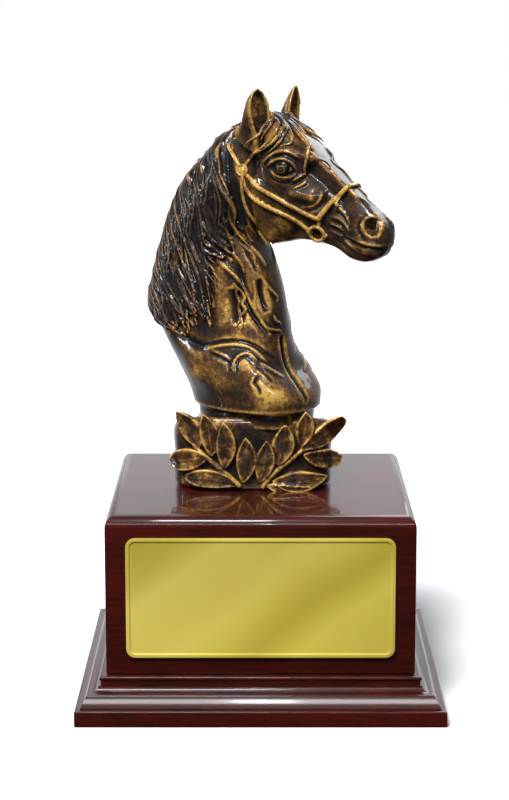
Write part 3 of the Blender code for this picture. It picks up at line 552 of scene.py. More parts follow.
# mane: locks from the crest over the near side, short ones on the far side
mane = {
    "voxel": 0.42,
    "ridges": (0.13, 0.42, 1.1),
    "guides": (
        ((-6.5, 141.5), (-10.5, 135), (-8.5, 127), (-5, 117), (-5.0, 107), (-0.5, 97)),
        ((-11, 138), (-15, 129), (-11, 119), (-10, 109), (-8, 100), (-3, 92)),
        ((-19, 131.5), (-20.5, 121), (-16, 112), (-16.2, 103), (-13, 95), (-7, 89)),
        ((-29, 121), (-27, 113), (-21.5, 105), (-19, 96), (-12.5, 82), (-8.0, 65)),
        ((-37, 109), (-34, 100), (-30.5, 90), (-28.5, 81.5), (-22, 73), (-15.5, 65)),
        ((-42, 95), (-39, 87), (-34, 80.5), (-29.5, 74.5), (-25, 67.5), (-20.5, 61)),
        ((-45.0, 84), (-42.5, 79), (-39, 74), (-35.5, 68.5), (-32, 64), (-28, 60)),
        ((-46.5, 79), (-47, 75), (-46.5, 71), (-44.5, 67.5), (-41.5, 64.5), (-37.5, 62)),
    ),
    # count, width, thickness, lift, wave and its pace
    "layers": ((21, 5.4, 3.6, 0.9, 1.0, 1.9), (39, 2.4, 2.6, 2.2, 1.4, 2.4), (63, 1.2, 1.6, 3.1, 1.7, 2.9),
               (71, 0.9, 1.3, 3.6, 1.9, 4.3)),
    "lockWidth": (0.6, 1, 1, 0.8, 0.25),
    "lockThick": (0.6, 1, 1, 0.7, 0.25),
    "endSway": (1.6, 3.0),
    "farLocks": 46,
    # how far the locks stand up on the crest and lower down, by guide
    "lie": (((0, 0), (2, 0), (3, 0.42), (5.5, 0.42), (6.2, 0.1), (7, 0)), ((0, 1), (5.5, 1), (7, 0.6))),
    "strands": (
        ((-13.5, 127), (-11.6, 121.4), (-9.7, 116.2), (-11.2, 110.8), (-11.1, 105.5), (-9.6, 100.2),
         (-6.3, 95.7), (-2.6, 91.6)),
        ((-11.2, 131), (-6.9, 124.2), (-6.7, 119), (-3.6, 113.8), (-1.9, 108.5), (-2.3, 103.1),
         (0.5, 97)),
        ((-21.7, 123.3), (-19.4, 118.2), (-15.7, 113.2), (-15.7, 109.2), (-16.4, 103.2), (-14.1, 97.3),
         (-9.2, 91.6)),
        ((-27.5, 118), (-24.3, 112.6), (-21.5, 107.4), (-21.8, 101.4), (-18.5, 96.3), (-16.3, 91.8),
         (-13.3, 86), (-11.1, 80.1), (-9.6, 73.6), (-9.7, 68.6)),
        ((-34, 108), (-32.6, 103.7), (-28.6, 98.8), (-26.5, 93), (-25, 87.1), (-25.6, 80.9), (-20.2, 76.1),
         (-18.5, 70.2), (-15.2, 66.4)),
        ((-36.5, 101), (-32.5, 96), (-30.8, 90.5), (-31.2, 85.1), (-27.5, 80), (-25.2, 74.2),
         (-20.8, 68.6)),
        ((-40.5, 92), (-37.4, 86.3), (-34, 80.7), (-29.9, 75.1), (-26.5, 69.4), (-23.4, 63.6)),
        ((-43.3, 84), (-41, 79.4), (-36.7, 74.9), (-31, 68.2), (-26.2, 62.7), (-22.4, 58.2)),
        ((-9.5, 128), (-7.6, 122), (-5.2, 117), (-3.2, 112), (-3.4, 106), (-1.2, 100), (3.2, 94.0)),
        ((-8.5, 137), (-9.5, 131), (-7.4, 125), (-5.4, 119)),
        ((-16, 131), (-16.5, 125), (-13.4, 119.5), (-13.0, 114)),
        ((-24.5, 124), (-22, 119), (-18.6, 114)),
        ((-31, 114), (-28, 109), (-25, 104), (-24.4, 98), (-21.6, 92.5), (-19, 87)),
    ),
    "underStrap": (
        ((-7.5, 138), (-6.5, 131), (-3.4, 124), (-2.4, 117), (-2.0, 110), (-0.6, 103), (2.0, 97)),
        ((-5.6, 134), (-4.4, 128), (-1.6, 122), (-0.8, 115), (-0.4, 108), (1.0, 101), (3.6, 96)),
        ((-3.6, 130), (-2.0, 125), (0.2, 119), (0.8, 112), (1.6, 105), (3.4, 99)),
    ),
    "strandWidth": (1.0, 2.0, 2.4, 2.0, 0.7),
    "strandThick": (1.0, 2.6, 3.0, 2.4, 0.7),
    "throat": (
        ((-3, 93), (1.5, 88.5), (3.5, 84)), ((0, 96), (4.6, 91.6), (6.4, 86.6)),
        ((-0.9, 80.7), (1.4, 77.6), (4.2, 75.2), (2.4, 72.6), (4.6, 69.9), (2.6, 67.4), (4.6, 64.6),
         (3.4, 62.6)),
        ((0.4, 79.0), (-0.4, 75.8), (1.6, 73.2), (0.8, 70.2), (2.8, 67.0), (2.2, 63.6)),
    ),
}


def lockOn(surface, line, side, count, width, thick, lift=0, rise=0):
    path, normals = drawOn(surface, line, side, count)
    return strip(path + normals * rise, normals, width, thick, lift)


def guideAt(guides, at):
    i = min(int(at), len(guides) - 2)
    return guides[i] + (guides[i + 1] - guides[i]) * (at - i)


def maneSkins(surface):
    locks = []
    guides = np.array(mane["guides"], float)
    last = len(guides) - 1
    shares = np.linspace(0, 1, 40)[:, None]
    rising = np.clip(2.6 * shares, 0, 1) * (1 - 0.5 * shares**4)  # close along the crest and at the ends
    onCrest, below = [np.transpose(lie) for lie in mane["lie"]]
    for layer, (count, width, thick, lift, wave, pace) in enumerate(mane["layers"]):
        widths, thicks = width * np.array(mane["lockWidth"]), thick * np.array(mane["lockThick"])
        for k, at in enumerate(np.linspace(0, last, count)):
            line = guideAt(guides, at)
            steps = np.arange(1, len(line))
            line[1:, 0] += wave * np.sin(pace * k + 1.5 * steps + layer)
            line[1:, 1] += 0.6 * np.cos(1.3 * k + steps)
            across, down = mane["endSway"]
            line[-1] += (across * math.sin(5 * k), down * math.cos(3 * k) + 0.8 * layer)
            low, high = np.interp(at, *onCrest), np.interp(at, *below)
            rise = (lift + 0.5 * math.sin(2.4 * k) + 0.9) * (low + (high - low) * rising) - 0.9
            locks.append(lockOn(surface, line, near, 40, widths, thicks, 0, rise))
    for k, line in enumerate(mane["strands"]):
        rise = (3.4 + 0.3 * (k % 2)) * rising - 0.6
        locks.append(lockOn(surface, line, near, 40, mane["strandWidth"], mane["strandThick"], 0, rise))
    for line in mane["underStrap"]:
        locks.append(lockOn(surface, line, near, 40, (1.6, 2.4, 2.4, 1.0), (1.2, 1.5, 1.4, 0.6)))
    for line in mane["throat"]:
        locks.append(lockOn(surface, line, near, 30, (0.8, 1.5, 1.4, 0.5), (0.8, 1.6, 1.5, 0.5), 0.7))
    for k, at in enumerate(np.linspace(0, last, mane["farLocks"])):
        start = guideAt(guides, at)[0]
        bend = 1.2 * math.sin(2.1 * k)
        short = [start + (0.6, 1), start + (1.2 + bend, -5), start + (3.2 - bend, -11),
                 start + (5 + bend, -15 - 2 * math.sin(1.7 * k))]
        width = 3.2 if k % 2 else 2.0
        widths = (width, width * 1.1, width, 0.6)
        locks.append(lockOn(surface, short, far, 18, widths, (2.4, 2.6, 2.0, 0.6), 0.9 + 0.6 * (k % 2)))
    return locks


# forelock: strands in (s, n, v) that fall from between the ears over the brow
forelock = {
    "voxel": 0.36,
    "width": (1.9, 2.0, 1.5, 0.5),
    "thick": (1.7, 1.7, 1.3, 0.5),
    "strands": (
        ((1, 4, -2), (7, 8, -5), (12, 5, -9), (12.4, 0, -10.5), (10.4, -5.6, -11), (7.6, -11.5, -11)),
        ((2, 4, -1), (9, 8.5, -4), (14.6, 6.6, -8), (17.2, 1.4, -11.5), (15.8, -3.6, -12)),
        ((2, 4, 0), (10, 9, -2), (18, 9, -4.4), (25, 7.4, -6.6), (28.4, 4, -8.6), (30.6, 0, -10),
         (33.2, -1.6, -10)),
        ((1, 4, -1), (9, 9, -3), (15.6, 8, -6.5), (20.6, 4.6, -10), (19.2, 0.8, -12)),
        ((1, 4, -3), (5.4, 6.6, -6), (8.8, 3.4, -9), (8.4, -2.6, -10)),
        ((0, 4, -2.4), (4, 7, -5), (7, 4.6, -8), (6.2, -1.6, -9.5), (5.0, -7, -10)),
        ((2, 4, 1), (10, 9, 0), (18, 9, -1.4), (25.5, 8, -3.6), (31, 6.8, -5)),
        ((2, 4, 1.6), (9, 8.6, 1.4), (14, 8.8, 1.4), (19, 8.2, 0.6)),
        ((2, 4, 2.4), (9, 9, 3.4), (15, 8, 6.6), (18.6, 3, 11), (17, -3, 12)),
        ((1, 4, 3), (7, 8, 5), (12, 5, 9), (12.4, 0, 10.5), (9, -7, 11)),
        ((2, 4, 2), (9, 8.6, 2.6), (15, 8, 4.6), (20, 6.4, 6.8), (23, 3, 9)),
        ((1, 5, -0.6), (8, 8.6, -3.6), (13, 7.4, -7), (15, 3, -10), (13.4, -1.6, -11)),
        ((1, 5, 0.6), (9, 8.8, -1.2), (16, 8.8, -3.2), (22, 8, -5.6), (25.6, 5.2, -8)),
    ),
}


def forelockSkins(surface):
    skins = []
    for k, line in enumerate(forelock["strands"]):
        places = [(onHead(s, n)[0], v, onHead(s, n)[1]) for s, n, v in line]
        path, normals = layOn(surface, places, 26)
        skins.append(strip(path, normals, forelock["width"], forelock["thick"], 0.5 + 0.3 * (k % 3)))
    return skins


# halter: straps alike on both sides, with buckles, rosette, rings and the band over the nose
halter = {
    # (s, n), radius, wire, lift
    "rings": (((47.2, -18.2), 3.0, 0.75, 0), ((8.3, -17.2), 2.0, 0.5, 0.4)),
    # line, width, thickness, lift
    "straps": (
        (((8.3, -17.2), (2.5, -15.6), (-3.1, -14.6), (-7.9, -13.6)), 1.4, 1.3, 0.5),
        (((8.3, -17.2), (8.0, -13.0), (8.6, -9.4), (11.4, -4.2), (13.8, 0.2), (14.2, 3.6)), 1.1, 1.1, 0.5),
        (((8.3, -17.2), (15.4, -18.0), (24.2, -16.1), (30.6, -14.9), (38.1, -14.0), (45.4, -12.8)),
         1.6, 1.4, 0.5),
        (((9.6, -18.6), (14.2, -22.6), (21.2, -22.1), (26.8, -20.9), (33.7, -19.2), (38.8, -18.7),
          (43.4, -19.3)), 1.6, 1.4, 0.5),
        (((8.6, -16.6), (10.8, -20.2), (13.4, -24.2), (19.0, -30.8), (25.0, -34.6), (31.0, -37.0)),
         1.3, 1.4, 1.2),
        (((45.2, -12.8), (45.2, -9.4), (46.1, -3.3), (46.8, 0.7), (47.2, 3.2)), 2.0, 1.6, 0.8),
        (((45.6, -13.0), (46.6, -15.0)), 1.4, 1.3, 0.5),
    ),
    "bridgeAt": 47.2,
    "bridge": ((1.6,), (1.4,), 0.5),
    "squareness": 0.7,
    # (s, n), across, along, high
    "bosses": (
        ((8.3, -17.2), 4.4, 4.2, 2.6), ((15.4, -18.0), 3.2, 3.4, 2.4), ((17.6, -17.6), 2.2, 2.4, 2.0),
        ((20.8, -22.2), 3.2, 2.8, 2.4), ((23.4, -21.6), 2.2, 2.2, 2.0), ((26.4, -21.0), 2.4, 2.2, 2.0),
        ((30.6, -14.9), 2.2, 2.0, 1.9), ((45.2, -12.6), 2.8, 2.8, 2.2), ((44.0, -19.6), 3.0, 3.0, 2.4),
        ((50.2, -17.2), 2.4, 2.4, 2.4), ((-3.1, -14.6), 2.2, 2.2, 1.9),
    ),
}


def besides(normal):  # two directions square to it and to each other
    first = unitOf(np.cross(normal, (0, 0, 1.0)))
    return first, np.cross(normal, first)


def domeSkin(place, normal, across, along, high):
    first, second = besides(normal)
    turn = np.linspace(0, 2 * math.pi, 20, endpoint=False)
    rings = []
    for level in np.radians(np.linspace(-20, 86, 9)):
        size, rise = math.cos(level), math.sin(level)
        rings.append([place + first * across / 2 * size * math.cos(a)
                      + second * along / 2 * size * math.sin(a) + normal * high * 0.6 * rise for a in turn])
    return loft(rings)


def ringSkin(place, normal, radius, wire):
    first, second = besides(normal)
    turns, sides = 40, 12
    points = []
    for a in np.linspace(0, 2 * math.pi, turns, endpoint=False):
        out = first * math.cos(a) + second * math.sin(a)
        for b in np.linspace(0, 2 * math.pi, sides, endpoint=False):
            points.append(place + out * (radius + wire * math.cos(b))
                          + normal * (wire + wire * math.sin(b)))
    faces = []
    for i in range(turns):
        for j in range(sides):
            k, m = (i + 1) % turns, (j + 1) % sides
            faces.append((i * sides + j, i * sides + m, k * sides + m, k * sides + j))
    return np.array(points), faces


def halterSkins(surface):
    straps, metal = [], []
    for side in (near, far):
        for line, width, thick, lift in halter["straps"]:
            path, normals = drawOn(surface, onFace(*line), side, 44)
            straps.append(strip(path, normals, (width,), (thick,), lift, halter["squareness"], 16))
        for (s, n), across, along, high in halter["bosses"]:
            place, normal = seenAt(surface, *onHead(s, n), side)
            metal.append(domeSkin(place, normal, across, along, high))
        for (s, n), radius, wire, lift in halter["rings"]:
            place, normal = seenAt(surface, *onHead(s, n), side)
            metal.append(ringSkin(place + normal * lift, normal, radius, wire))
    bridge = []
    for a in np.radians(np.linspace(-74, 74, 31)):
        u, w = onHead(halter["bridgeAt"], 12 * math.cos(a) - 5)
        place, normal, _, _ = surface.find_nearest(Vector((u, 12 * math.sin(a), w)))
        bridge.append((*place, *normal))
    bridge = np.array(bridge)
    straps.append(strip(bridge[:, :3], unitOf(bridge[:, 3:]), *halter["bridge"], halter["squareness"], 16))
    return straps, metal


# rock and laurel, square to the plinth: (x, w) places on the rock's front
base = {
    "halfLength": 31.5,
    "halfDepth": 20.0,
    "height": 28.5,
    "fullness": 0.55,
    "reach": 28.5,
    "taper": ((0, 0.95), (2, 0.99), (12, 0.985), (22, 1.0), (26.5, 0.98), (28.5, 0.93)),
    "fall": 0.27,
    "voxel": 0.7,
    "ridges": (0.05, 0.2, 0.6),
    "leafVoxel": 0.34,
    "leafRidges": (0.08, 0.28, 0.7),
    # base, tip, width, how far the tip stands off
    "leaves": (
        ((-20.5, 17.0), (-28.6, 30.4), 8.2, 1.2), ((-16, 13.6), (-19.0, 30.6), 7.4, 2.0),
        ((-11.3, 8.6), (-11.4, 27.4), 7.6, 2.2), ((-4, 3.0), (-2.9, 21.8), 7.8, 2.4),
        ((2.4, 3.2), (5.4, 20.6), 7.4, 2.2), ((9.4, 10.2), (12.4, 26.6), 8.8, 2.2),
        ((18.5, 17.6), (20, 31.4), 7.0, 1.8), ((7.6, 3.6), (27.4, 5.2), 8.4, 2.2),
        ((5.2, 2.0), (23, 1.8), 5.0, 2.0),
    ),
    "bluntLeaves": (
        ((18.5, 16.5), (34.2, 28.0), 8.4, 1.0), ((19.5, 14.2), (33.0, 11.4), 7.4, 1.4),
        ((-17.4, 12.8), (-30.8, 10), 8.6, 1.0), ((-5.4, 2.2), (-25.0, 5.0), 7.0, 2.2),
    ),
    # across and up, over a leaf from edge to edge and back underneath
    "leafSection": ((-1, -1.2), (-1.0, 0.6), (-0.9, 1.15), (-0.74, 0.95), (-0.42, 0.62), (-0.12, 0.5),
                    (0, 0.66), (0.12, 0.5), (0.42, 0.62), (0.74, 0.95), (0.9, 1.15), (1.0, 0.6),
                    (1, -1.2), (0, -2.4)),
    "stems": (
        ((-5, 1.6), (-13.7, 9.5), (-19, 14), (-23, 18)),
        ((3.5, 1.2), (6.3, 5.2), (11.8, 10), (16.8, 14), (21, 17.6), (25, 23)),
    ),
}


def rockSkin():
    rings = []
    angles = np.radians(np.arange(0, 360, 3))
    x, y = squared(angles, base["fullness"])
    for w in np.linspace(0, base["height"], 40):
        share = smoothThrough(base["taper"], w)
        rings.append(np.stack([base["halfLength"] * share * x, base["halfDepth"] * share * y,
                               np.full(len(x), w)], axis=1))
    return loft(rings)


def lowerCorners(piece):  # behind, the rock's top falls away towards its two ends
    points = pointsOf(piece)
    x, y, w = points.T
    ends, behind = np.clip((np.abs(x) - 18) / 7, 0, 1), np.clip(y + 16, 0, None)
    points[:, 2] = w - base["fall"] * ends * behind * (np.clip(w, 0, None) / base["height"]) ** 2
    setPoints(piece, points)


def seenFromFront(surface, x, w):
    inside = max(-base["reach"], min(base["reach"], x))
    level = max(1.0, min(base["height"] - 5, w))
    place, normal, _, _ = surface.ray_cast(Vector((inside, -60, level)), Vector((0, 1, 0)))
    return np.array((x, place.y, w)), np.array(normal)


def leafSkin(surface, root, tip, wide, standing, widest=0.5, point=1.0):
    t = (1 - np.cos(np.linspace(0, math.pi, 34))) / 2
    bow = np.array((tip[1] - root[1], root[0] - tip[0])) * 0.05
    line = np.outer(1 - t, root) + np.outer(t, tip) + np.outer(np.sin(np.pi * t), bow)
    path, normals = apart([seenFromFront(surface, x, w) for x, w in line])
    normals = unitOf(normals)
    path = path + normals * (0.9 + standing * t**2)[:, None]
    along = unitOf(np.gradient(path, axis=0))
    across = unitOf(np.cross(along, normals))
    swell = np.sin(np.pi / 2 * np.minimum(1, t / widest)) ** 0.8
    close = (1 - np.maximum(0, (t - widest) / (1 - widest)) ** 2) ** point
    half = wide / 2 * swell * close + 0.15
    rings = []
    for place, side, up, reach in zip(path, across, normals, half):
        rings.append([place + side * reach * x + up * y * min(1.0, reach / 1.6)
                      for x, y in base["leafSection"]])
    return loft(rings)


def laurelSkins(surface):
    skins = [leafSkin(surface, *leaf) for leaf in base["leaves"]]
    skins += [leafSkin(surface, *leaf, widest=0.62, point=0.5) for leaf in base["bluntLeaves"]]
    for line in base["stems"]:
        path, normals = apart([seenFromFront(surface, x, w) for x, w in spline(line, 30)])
        skins.append(strip(path, unitOf(normals), (2.2, 1.4), (2.2, 1.4), 0.8))
    return skins


# materials
def setInputs(tree, node, values):  # sockets are linked, other values are set
    for key, value in values.items():
        if isinstance(value, bpy.types.NodeSocket):
            tree.links.new(value, node.inputs[key])
        else:
            node.inputs[key].default_value = value


def addNode(tree, kind, values=None, **settings):
    made = tree.nodes.new(kind)
    for key, value in settings.items():
        setattr(made, key, value)
    setInputs(tree, made, values or {})
    return made


def mathNode(tree, operation, a, b, clamp=False):
    return addNode(tree, "ShaderNodeMath", {0: a, 1: b}, operation=operation, use_clamp=clamp).outputs[0]


def scaledBy(tree, value, factor, shift, clamp=False):
    return mathNode(tree, "ADD", mathNode(tree, "MULTIPLY", value, factor), shift, clamp)


def aroundHalf(tree, value, factor):  # how far a value is from a half, times the factor
    return mathNode(tree, "MULTIPLY", mathNode(tree, "SUBTRACT", value, 0.5), factor)


def mixOf(tree, first, share, second, secondShare):
    return mathNode(tree, "ADD", mathNode(tree, "MULTIPLY", first, share),
                    mathNode(tree, "MULTIPLY", second, secondShare))


def noiseAt(tree, place, scale, detail=2.0, roughness=0.5):
    return addNode(tree, "ShaderNodeTexNoise", {"Vector": place, "Scale": scale, "Detail": detail,
                                                "Roughness": roughness}).outputs["Fac"]


def placeIn(tree):
    return addNode(tree, "ShaderNodeTexCoord").outputs["Object"]


def stretched(tree, place, scale):
    return addNode(tree, "ShaderNodeMapping", {"Vector": place, "Scale": scale}).outputs["Vector"]


def layerIn(tree, name):
    return addNode(tree, "ShaderNodeAttribute", attribute_name=name).outputs["Fac"]


def bumpFrom(tree, height, strength, distance):
    return addNode(tree, "ShaderNodeBump", {"Height": height, "Strength": strength,
                                            "Distance": distance}).outputs["Normal"]


def rampNode(tree, value, stops):
    made = addNode(tree, "ShaderNodeValToRGB", {"Fac": value})
    ramp = made.color_ramp
    while len(ramp.elements) < len(stops):
        ramp.elements.new(0.5)
    for element, (at, color) in zip(ramp.elements, stops):
        element.position = at
        element.color = (*color, 1)
    return made.outputs["Color"]


def newMaterial(name):
    made = bpy.data.materials.new(name)
    made.use_nodes = True
    return made, made.node_tree, made.node_tree.nodes["Principled BSDF"]


def newGroup(name, inputs, outputs):
    group = bpy.data.node_groups.new(name, "ShaderNodeTree")
    for label, value in inputs.items():
        socket = group.interface.new_socket(name=label, in_out="INPUT", socket_type="NodeSocketFloat")
        socket.default_value = value
    for label, kind in outputs.items():
        group.interface.new_socket(name=label, in_out="OUTPUT", socket_type="NodeSocket" + kind)
    return group, group.nodes.new("NodeGroupInput").outputs, group.nodes.new("NodeGroupOutput")


bronze = {
    "stops": ((0.0, (0.0042, 0.0042, 0.0050)), (0.30, (0.0100, 0.0082, 0.0080)),
              (0.50, (0.032, 0.0192, 0.0128)), (0.65, (0.074, 0.0375, 0.0160)),
              (0.80, (0.190, 0.095, 0.0275)), (0.92, (0.40, 0.218, 0.052)), (1.0, (0.64, 0.39, 0.095))),
    "coatRoughness": 0.05,
    "blots": (210.0, 4.0, 0.65),
    "grain": (1500.0, 3.0, 0.6),
    "specks": (620.0,),
    # how much the ridges count, how far it is rubbed all over, how blotched, and how high its grain stands
    "looks": {
        "bustBronze": (0.85, 0.47, 0.35, 0.10),
        "maneBronze": (1.35, 0.20, 0.55, 0.30),
        "strapGold": (0.3, 0.98, 0.70, 0.08),
        "rockBronze": (0.8, 0.26, 1.20, 0.18),
        "leafBronze": (0.58, 0.66, 1.70, 0.12),
    },
}


def rubbedGoldGroup():
    group, given, out = newGroup(
        "rubbedGold", {"Ridge": 0.5, "Gilt": 0.0, "Ridge Weight": 1.0, "Level": 0.0, "Mottle": 0.3},
        {"Color": "Color", "Metallic": "Float", "Roughness": "Float", "Height": "Float"})
    place = placeIn(group)
    blots, grain, specks = [noiseAt(group, place, *bronze[key]) for key in ("blots", "grain", "specks")]
    ridge = aroundHalf(group, given["Ridge"], given["Ridge Weight"])
    blot = aroundHalf(group, blots, given["Mottle"])
    grit = mathNode(group, "ADD", aroundHalf(group, grain, 0.50), aroundHalf(group, specks, 0.42))
    gilt = mathNode(group, "MULTIPLY", given["Gilt"], scaledBy(group, blots, 2.2, -0.15))
    level = mathNode(group, "ADD", mathNode(group, "ADD", ridge, given["Level"]), gilt)
    level = mathNode(group, "ADD", mathNode(group, "ADD", level, blot), grit, True)
    setInputs(group, out, {
        "Color": rampNode(group, level, bronze["stops"]),
        "Metallic": mathNode(group, "MULTIPLY", level, 0.4, True),
        "Roughness": scaledBy(group, grain, 0.25, 0.22),
        "Height": mixOf(group, blots, 0.6, specks, 0.4),
    })
    return group


def bronzeMaterial(name, group, ridgeWeight, level, mottle, bump):
    made, tree, shader = newMaterial(name)
    given = {"Ridge": layerIn(tree, "ridge"), "Gilt": layerIn(tree, "gilt"), "Ridge Weight": ridgeWeight,
             "Level": level, "Mottle": mottle}
    rubbed = addNode(tree, "ShaderNodeGroup", given, node_tree=group).outputs
    setInputs(tree, shader, {
        "Base Color": rubbed["Color"],
        "Metallic": rubbed["Metallic"],
        "Roughness": rubbed["Roughness"],
        "Normal": bumpFrom(tree, rubbed["Height"], bump, 0.0004),
        "Coat Weight": 1.0,
        "Coat Roughness": bronze["coatRoughness"],
    })
    return made


def eyeMaterial():
    made, tree, shader = newMaterial("eye")
    color = rampNode(tree, mathNode(tree, "MULTIPLY", layerIn(tree, "iris"), 0.25), eye["stops"])
    setInputs(tree, shader, {"Base Color": color, "Roughness": 0.3, "Coat Weight": 0.25})
    return made


lacquer = {
    "deep": (0.016, 0.0030, 0.0022),
    "warm": (0.054, 0.0052, 0.0032),
    "grain": (900.0, 3.0, 0.6),
    "figure": (110.0,),
    "wave": (60.0, 1.0),
}


def lacquerMaterial():
    made, tree, shader = newMaterial("redLacquer")
    place = placeIn(tree)
    lengthwise = stretched(tree, place, (0.07, 0.07, 1.0))
    grain, figure = [noiseAt(tree, lengthwise, *lacquer[key]) for key in ("grain", "figure")]
    mixed = mixOf(tree, grain, 0.55, figure, 0.45)
    setInputs(tree, shader, {
        "Base Color": rampNode(tree, mixed, ((0.36, lacquer["deep"]), (0.64, lacquer["warm"]))),
        "Roughness": 0.35,
        "Specular IOR Level": 0.3,
        "Coat Weight": 1.0,
        "Coat Roughness": 0.07,
        "Normal": bumpFrom(tree, noiseAt(tree, place, *lacquer["wave"]), 0.05, 0.0006),
    })
    return made


# name plate: its gold colour, with painted reflection laid over it in soft slanting bands
plateGoldAndSheen = {
    "span": 90,
    "slant": (0.63, -0.777),
    # painted reflection: place along the slanting bands of painted sheen in millimetres and the gold there
    "paintedSheen": ((-45, (0.475, 0.37, 0.056)), (-36, (0.50, 0.39, 0.059)), (-26, (0.615, 0.50, 0.104)),
              (-16, (0.585, 0.47, 0.089)), (-10, (0.57, 0.445, 0.083)), (-3, (0.59, 0.475, 0.091)),
              (4, (0.54, 0.43, 0.069)), (10, (0.465, 0.36, 0.051)), (15.5, (0.42, 0.325, 0.041)),
              (20, (0.455, 0.355, 0.047)), (27, (0.545, 0.44, 0.069)), (35, (0.495, 0.395, 0.059)),
              (45, (0.465, 0.36, 0.056))),
}


def plateMaterial():
    made, tree, shader = newMaterial("goldPlate")
    place, span = placeIn(tree), plateGoldAndSheen["span"]
    cut = addNode(tree, "ShaderNodeSeparateXYZ", {0: place}).outputs
    middle = mathNode(tree, "SUBTRACT", cut["Z"], plinth["plateLow"] + plinth["plateHeight"] / 2)
    bend = aroundHalf(tree, noiseAt(tree, place, 22.0, 1.0), 0.012)
    across, upward = plateGoldAndSheen["slant"]
    along = mathNode(tree, "ADD", mixOf(tree, cut["X"], across, middle, upward), bend)
    # painted reflection: the plate's gold runs lighter and darker in slanting bands, as reflections would
    # fall
    stops = tuple((spot / span + 0.5, gold) for spot, gold in plateGoldAndSheen["paintedSheen"])
    fine = noiseAt(tree, stretched(tree, place, (0.04, 1.0, 1.0)), 3000.0)
    setInputs(tree, shader, {
        "Base Color": rampNode(tree, scaledBy(tree, along, 1000 / span, 0.5, True), stops),
        "Roughness": scaledBy(tree, fine, 0.12, 0.34),
        "Metallic": 0.2,
    })
    return made


# plinth: block, moulded foot and name plate, in metres
plinth = {
    "blockWidth": 0.117,
    "blockBottom": 0.0174,
    "blockHeight": 0.0612,
    "topRounding": 0.0046,
    "edgeRounding": 0.0006,
    "plateWidth": 0.1014,
    "plateLow": 0.0241,
    "plateHeight": 0.0464,
    "plateCorner": 0.0036,
    "plateThick": 0.0009,
    "plateRim": 0.0013,
    "plateStep": (0.0004, -0.00035),
    "plateEdge": 0.00012,
    "gap": 0.0003,
    # half widths and heights from the floor up to the bead: places, or arcs given by their middle, radii,
    # degrees and steps
    "foot": (
        (0.0694, 0.0),
        ((0.0693, 0.0007), (0.0007, 0.0007), -60, 0, 3),
        ((0.0693, 0.0056), (0.0007, 0.0007), 0, 90, 6),
        (0.0680, 0.0063),
        (0.0680, 0.0066),
        ((0.0674, 0.0066), (0.0005, 0.0005), 0, 28.5, 4),
        ((0.06482, 0.0103), (0.0010, 0.0010), 28.5, 90, 8),
        ((0.0642, 0.0136), (0.0030, 0.0023), 270, 180, 12),
        (0.0604, 0.0136),
        (0.0604, 0.0153),
        ((0.0600, 0.0162), (0.0009, 0.0009), -90, 90, 12),
    ),
}


def arcOf(middle, radii, start, end, steps):
    return [(middle[0] + radii[0] * math.cos(a), middle[1] + radii[1] * math.sin(a))
            for a in np.radians(np.linspace(start, end, steps + 1))]


def footProfile():
    profile = []
    for part in plinth["foot"]:
        profile += arcOf(*part) if len(part) == 5 else [part]
    return profile


def addFoot():
    deselect()
    profile = footProfile()
    bpy.ops.mesh.primitive_plane_add(size=2 * profile[0][0], location=(0, 0, profile[0][1]))
    foot = bpy.context.active_object
    foot.name = "plinthFoot"
    bpy.ops.object.mode_set(mode="EDIT")
    bpy.ops.mesh.select_mode(type="FACE")
    bpy.ops.mesh.select_all(action="SELECT")
    for (half, z), (nextHalf, nextZ) in zip(profile, profile[1:]):
        if abs(half - nextHalf) + abs(z - nextZ) < 1e-6:
            continue
        bpy.ops.mesh.extrude_region_move(TRANSFORM_OT_translate={"value": (0, 0, nextZ - z)})
        grow = nextHalf / half
        bpy.ops.transform.resize(value=(grow, grow, 1), center_override=(0, 0, nextZ))
    bpy.ops.mesh.select_all(action="SELECT")
    bpy.ops.mesh.normals_make_consistent(inside=False)
    bpy.ops.object.mode_set(mode="OBJECT")
    return foot


def addBox(name, size, middle):
    deselect()
    bpy.ops.mesh.primitive_cube_add(size=1, location=middle, scale=size)
    box = bpy.context.active_object
    box.name = name
    bpy.ops.object.transform_apply(location=True, rotation=True, scale=True)
    return box


def edgesWhere(piece, wanted):
    places = [vertex.co for vertex in piece.data.vertices]
    return [wanted(*[places[i] for i in edge.vertices]) for edge in piece.data.edges]


def addBlock():
    width, height = plinth["blockWidth"], plinth["blockHeight"]
    top = plinth["blockBottom"] + height
    block = addBox("plinthBlock", (width, width, height), (0, 0, top - height / 2))
    selectIn(block, "EDGE", edgesWhere(block, lambda a, b: min(a.z, b.z) > top - 1e-5))
    bpy.ops.mesh.bevel(offset=plinth["topRounding"], segments=14, profile=0.5)
    bpy.ops.object.mode_set(mode="OBJECT")
    finishWith(block, "BEVEL", width=plinth["edgeRounding"], segments=3, limit_method="ANGLE",
               angle_limit=math.radians(50))
    return block


def addPlate():
    front = -plinth["blockWidth"] / 2 - plinth["gap"]
    middle = (0, front - plinth["plateThick"] / 2, plinth["plateLow"] + plinth["plateHeight"] / 2)
    plate = addBox("namePlate", (plinth["plateWidth"], plinth["plateThick"], plinth["plateHeight"]), middle)
    selectIn(plate, "EDGE", edgesWhere(plate, lambda a, b: abs(a.y - b.y) > 1e-5))
    bpy.ops.mesh.bevel(offset=plinth["plateCorner"], segments=10, profile=0.5)
    bpy.ops.object.mode_set(mode="OBJECT")
    selectIn(plate, "FACE", [face.normal.y < -0.9 for face in plate.data.polygons])
    bpy.ops.mesh.inset(thickness=plinth["plateRim"], depth=0)
    inset, depth = plinth["plateStep"]
    bpy.ops.mesh.inset(thickness=inset, depth=depth)
    bpy.ops.object.mode_set(mode="OBJECT")
    finishWith(plate, "BEVEL", width=plinth["plateEdge"], segments=2, limit_method="ANGLE",
               angle_limit=math.radians(25))
    return plate


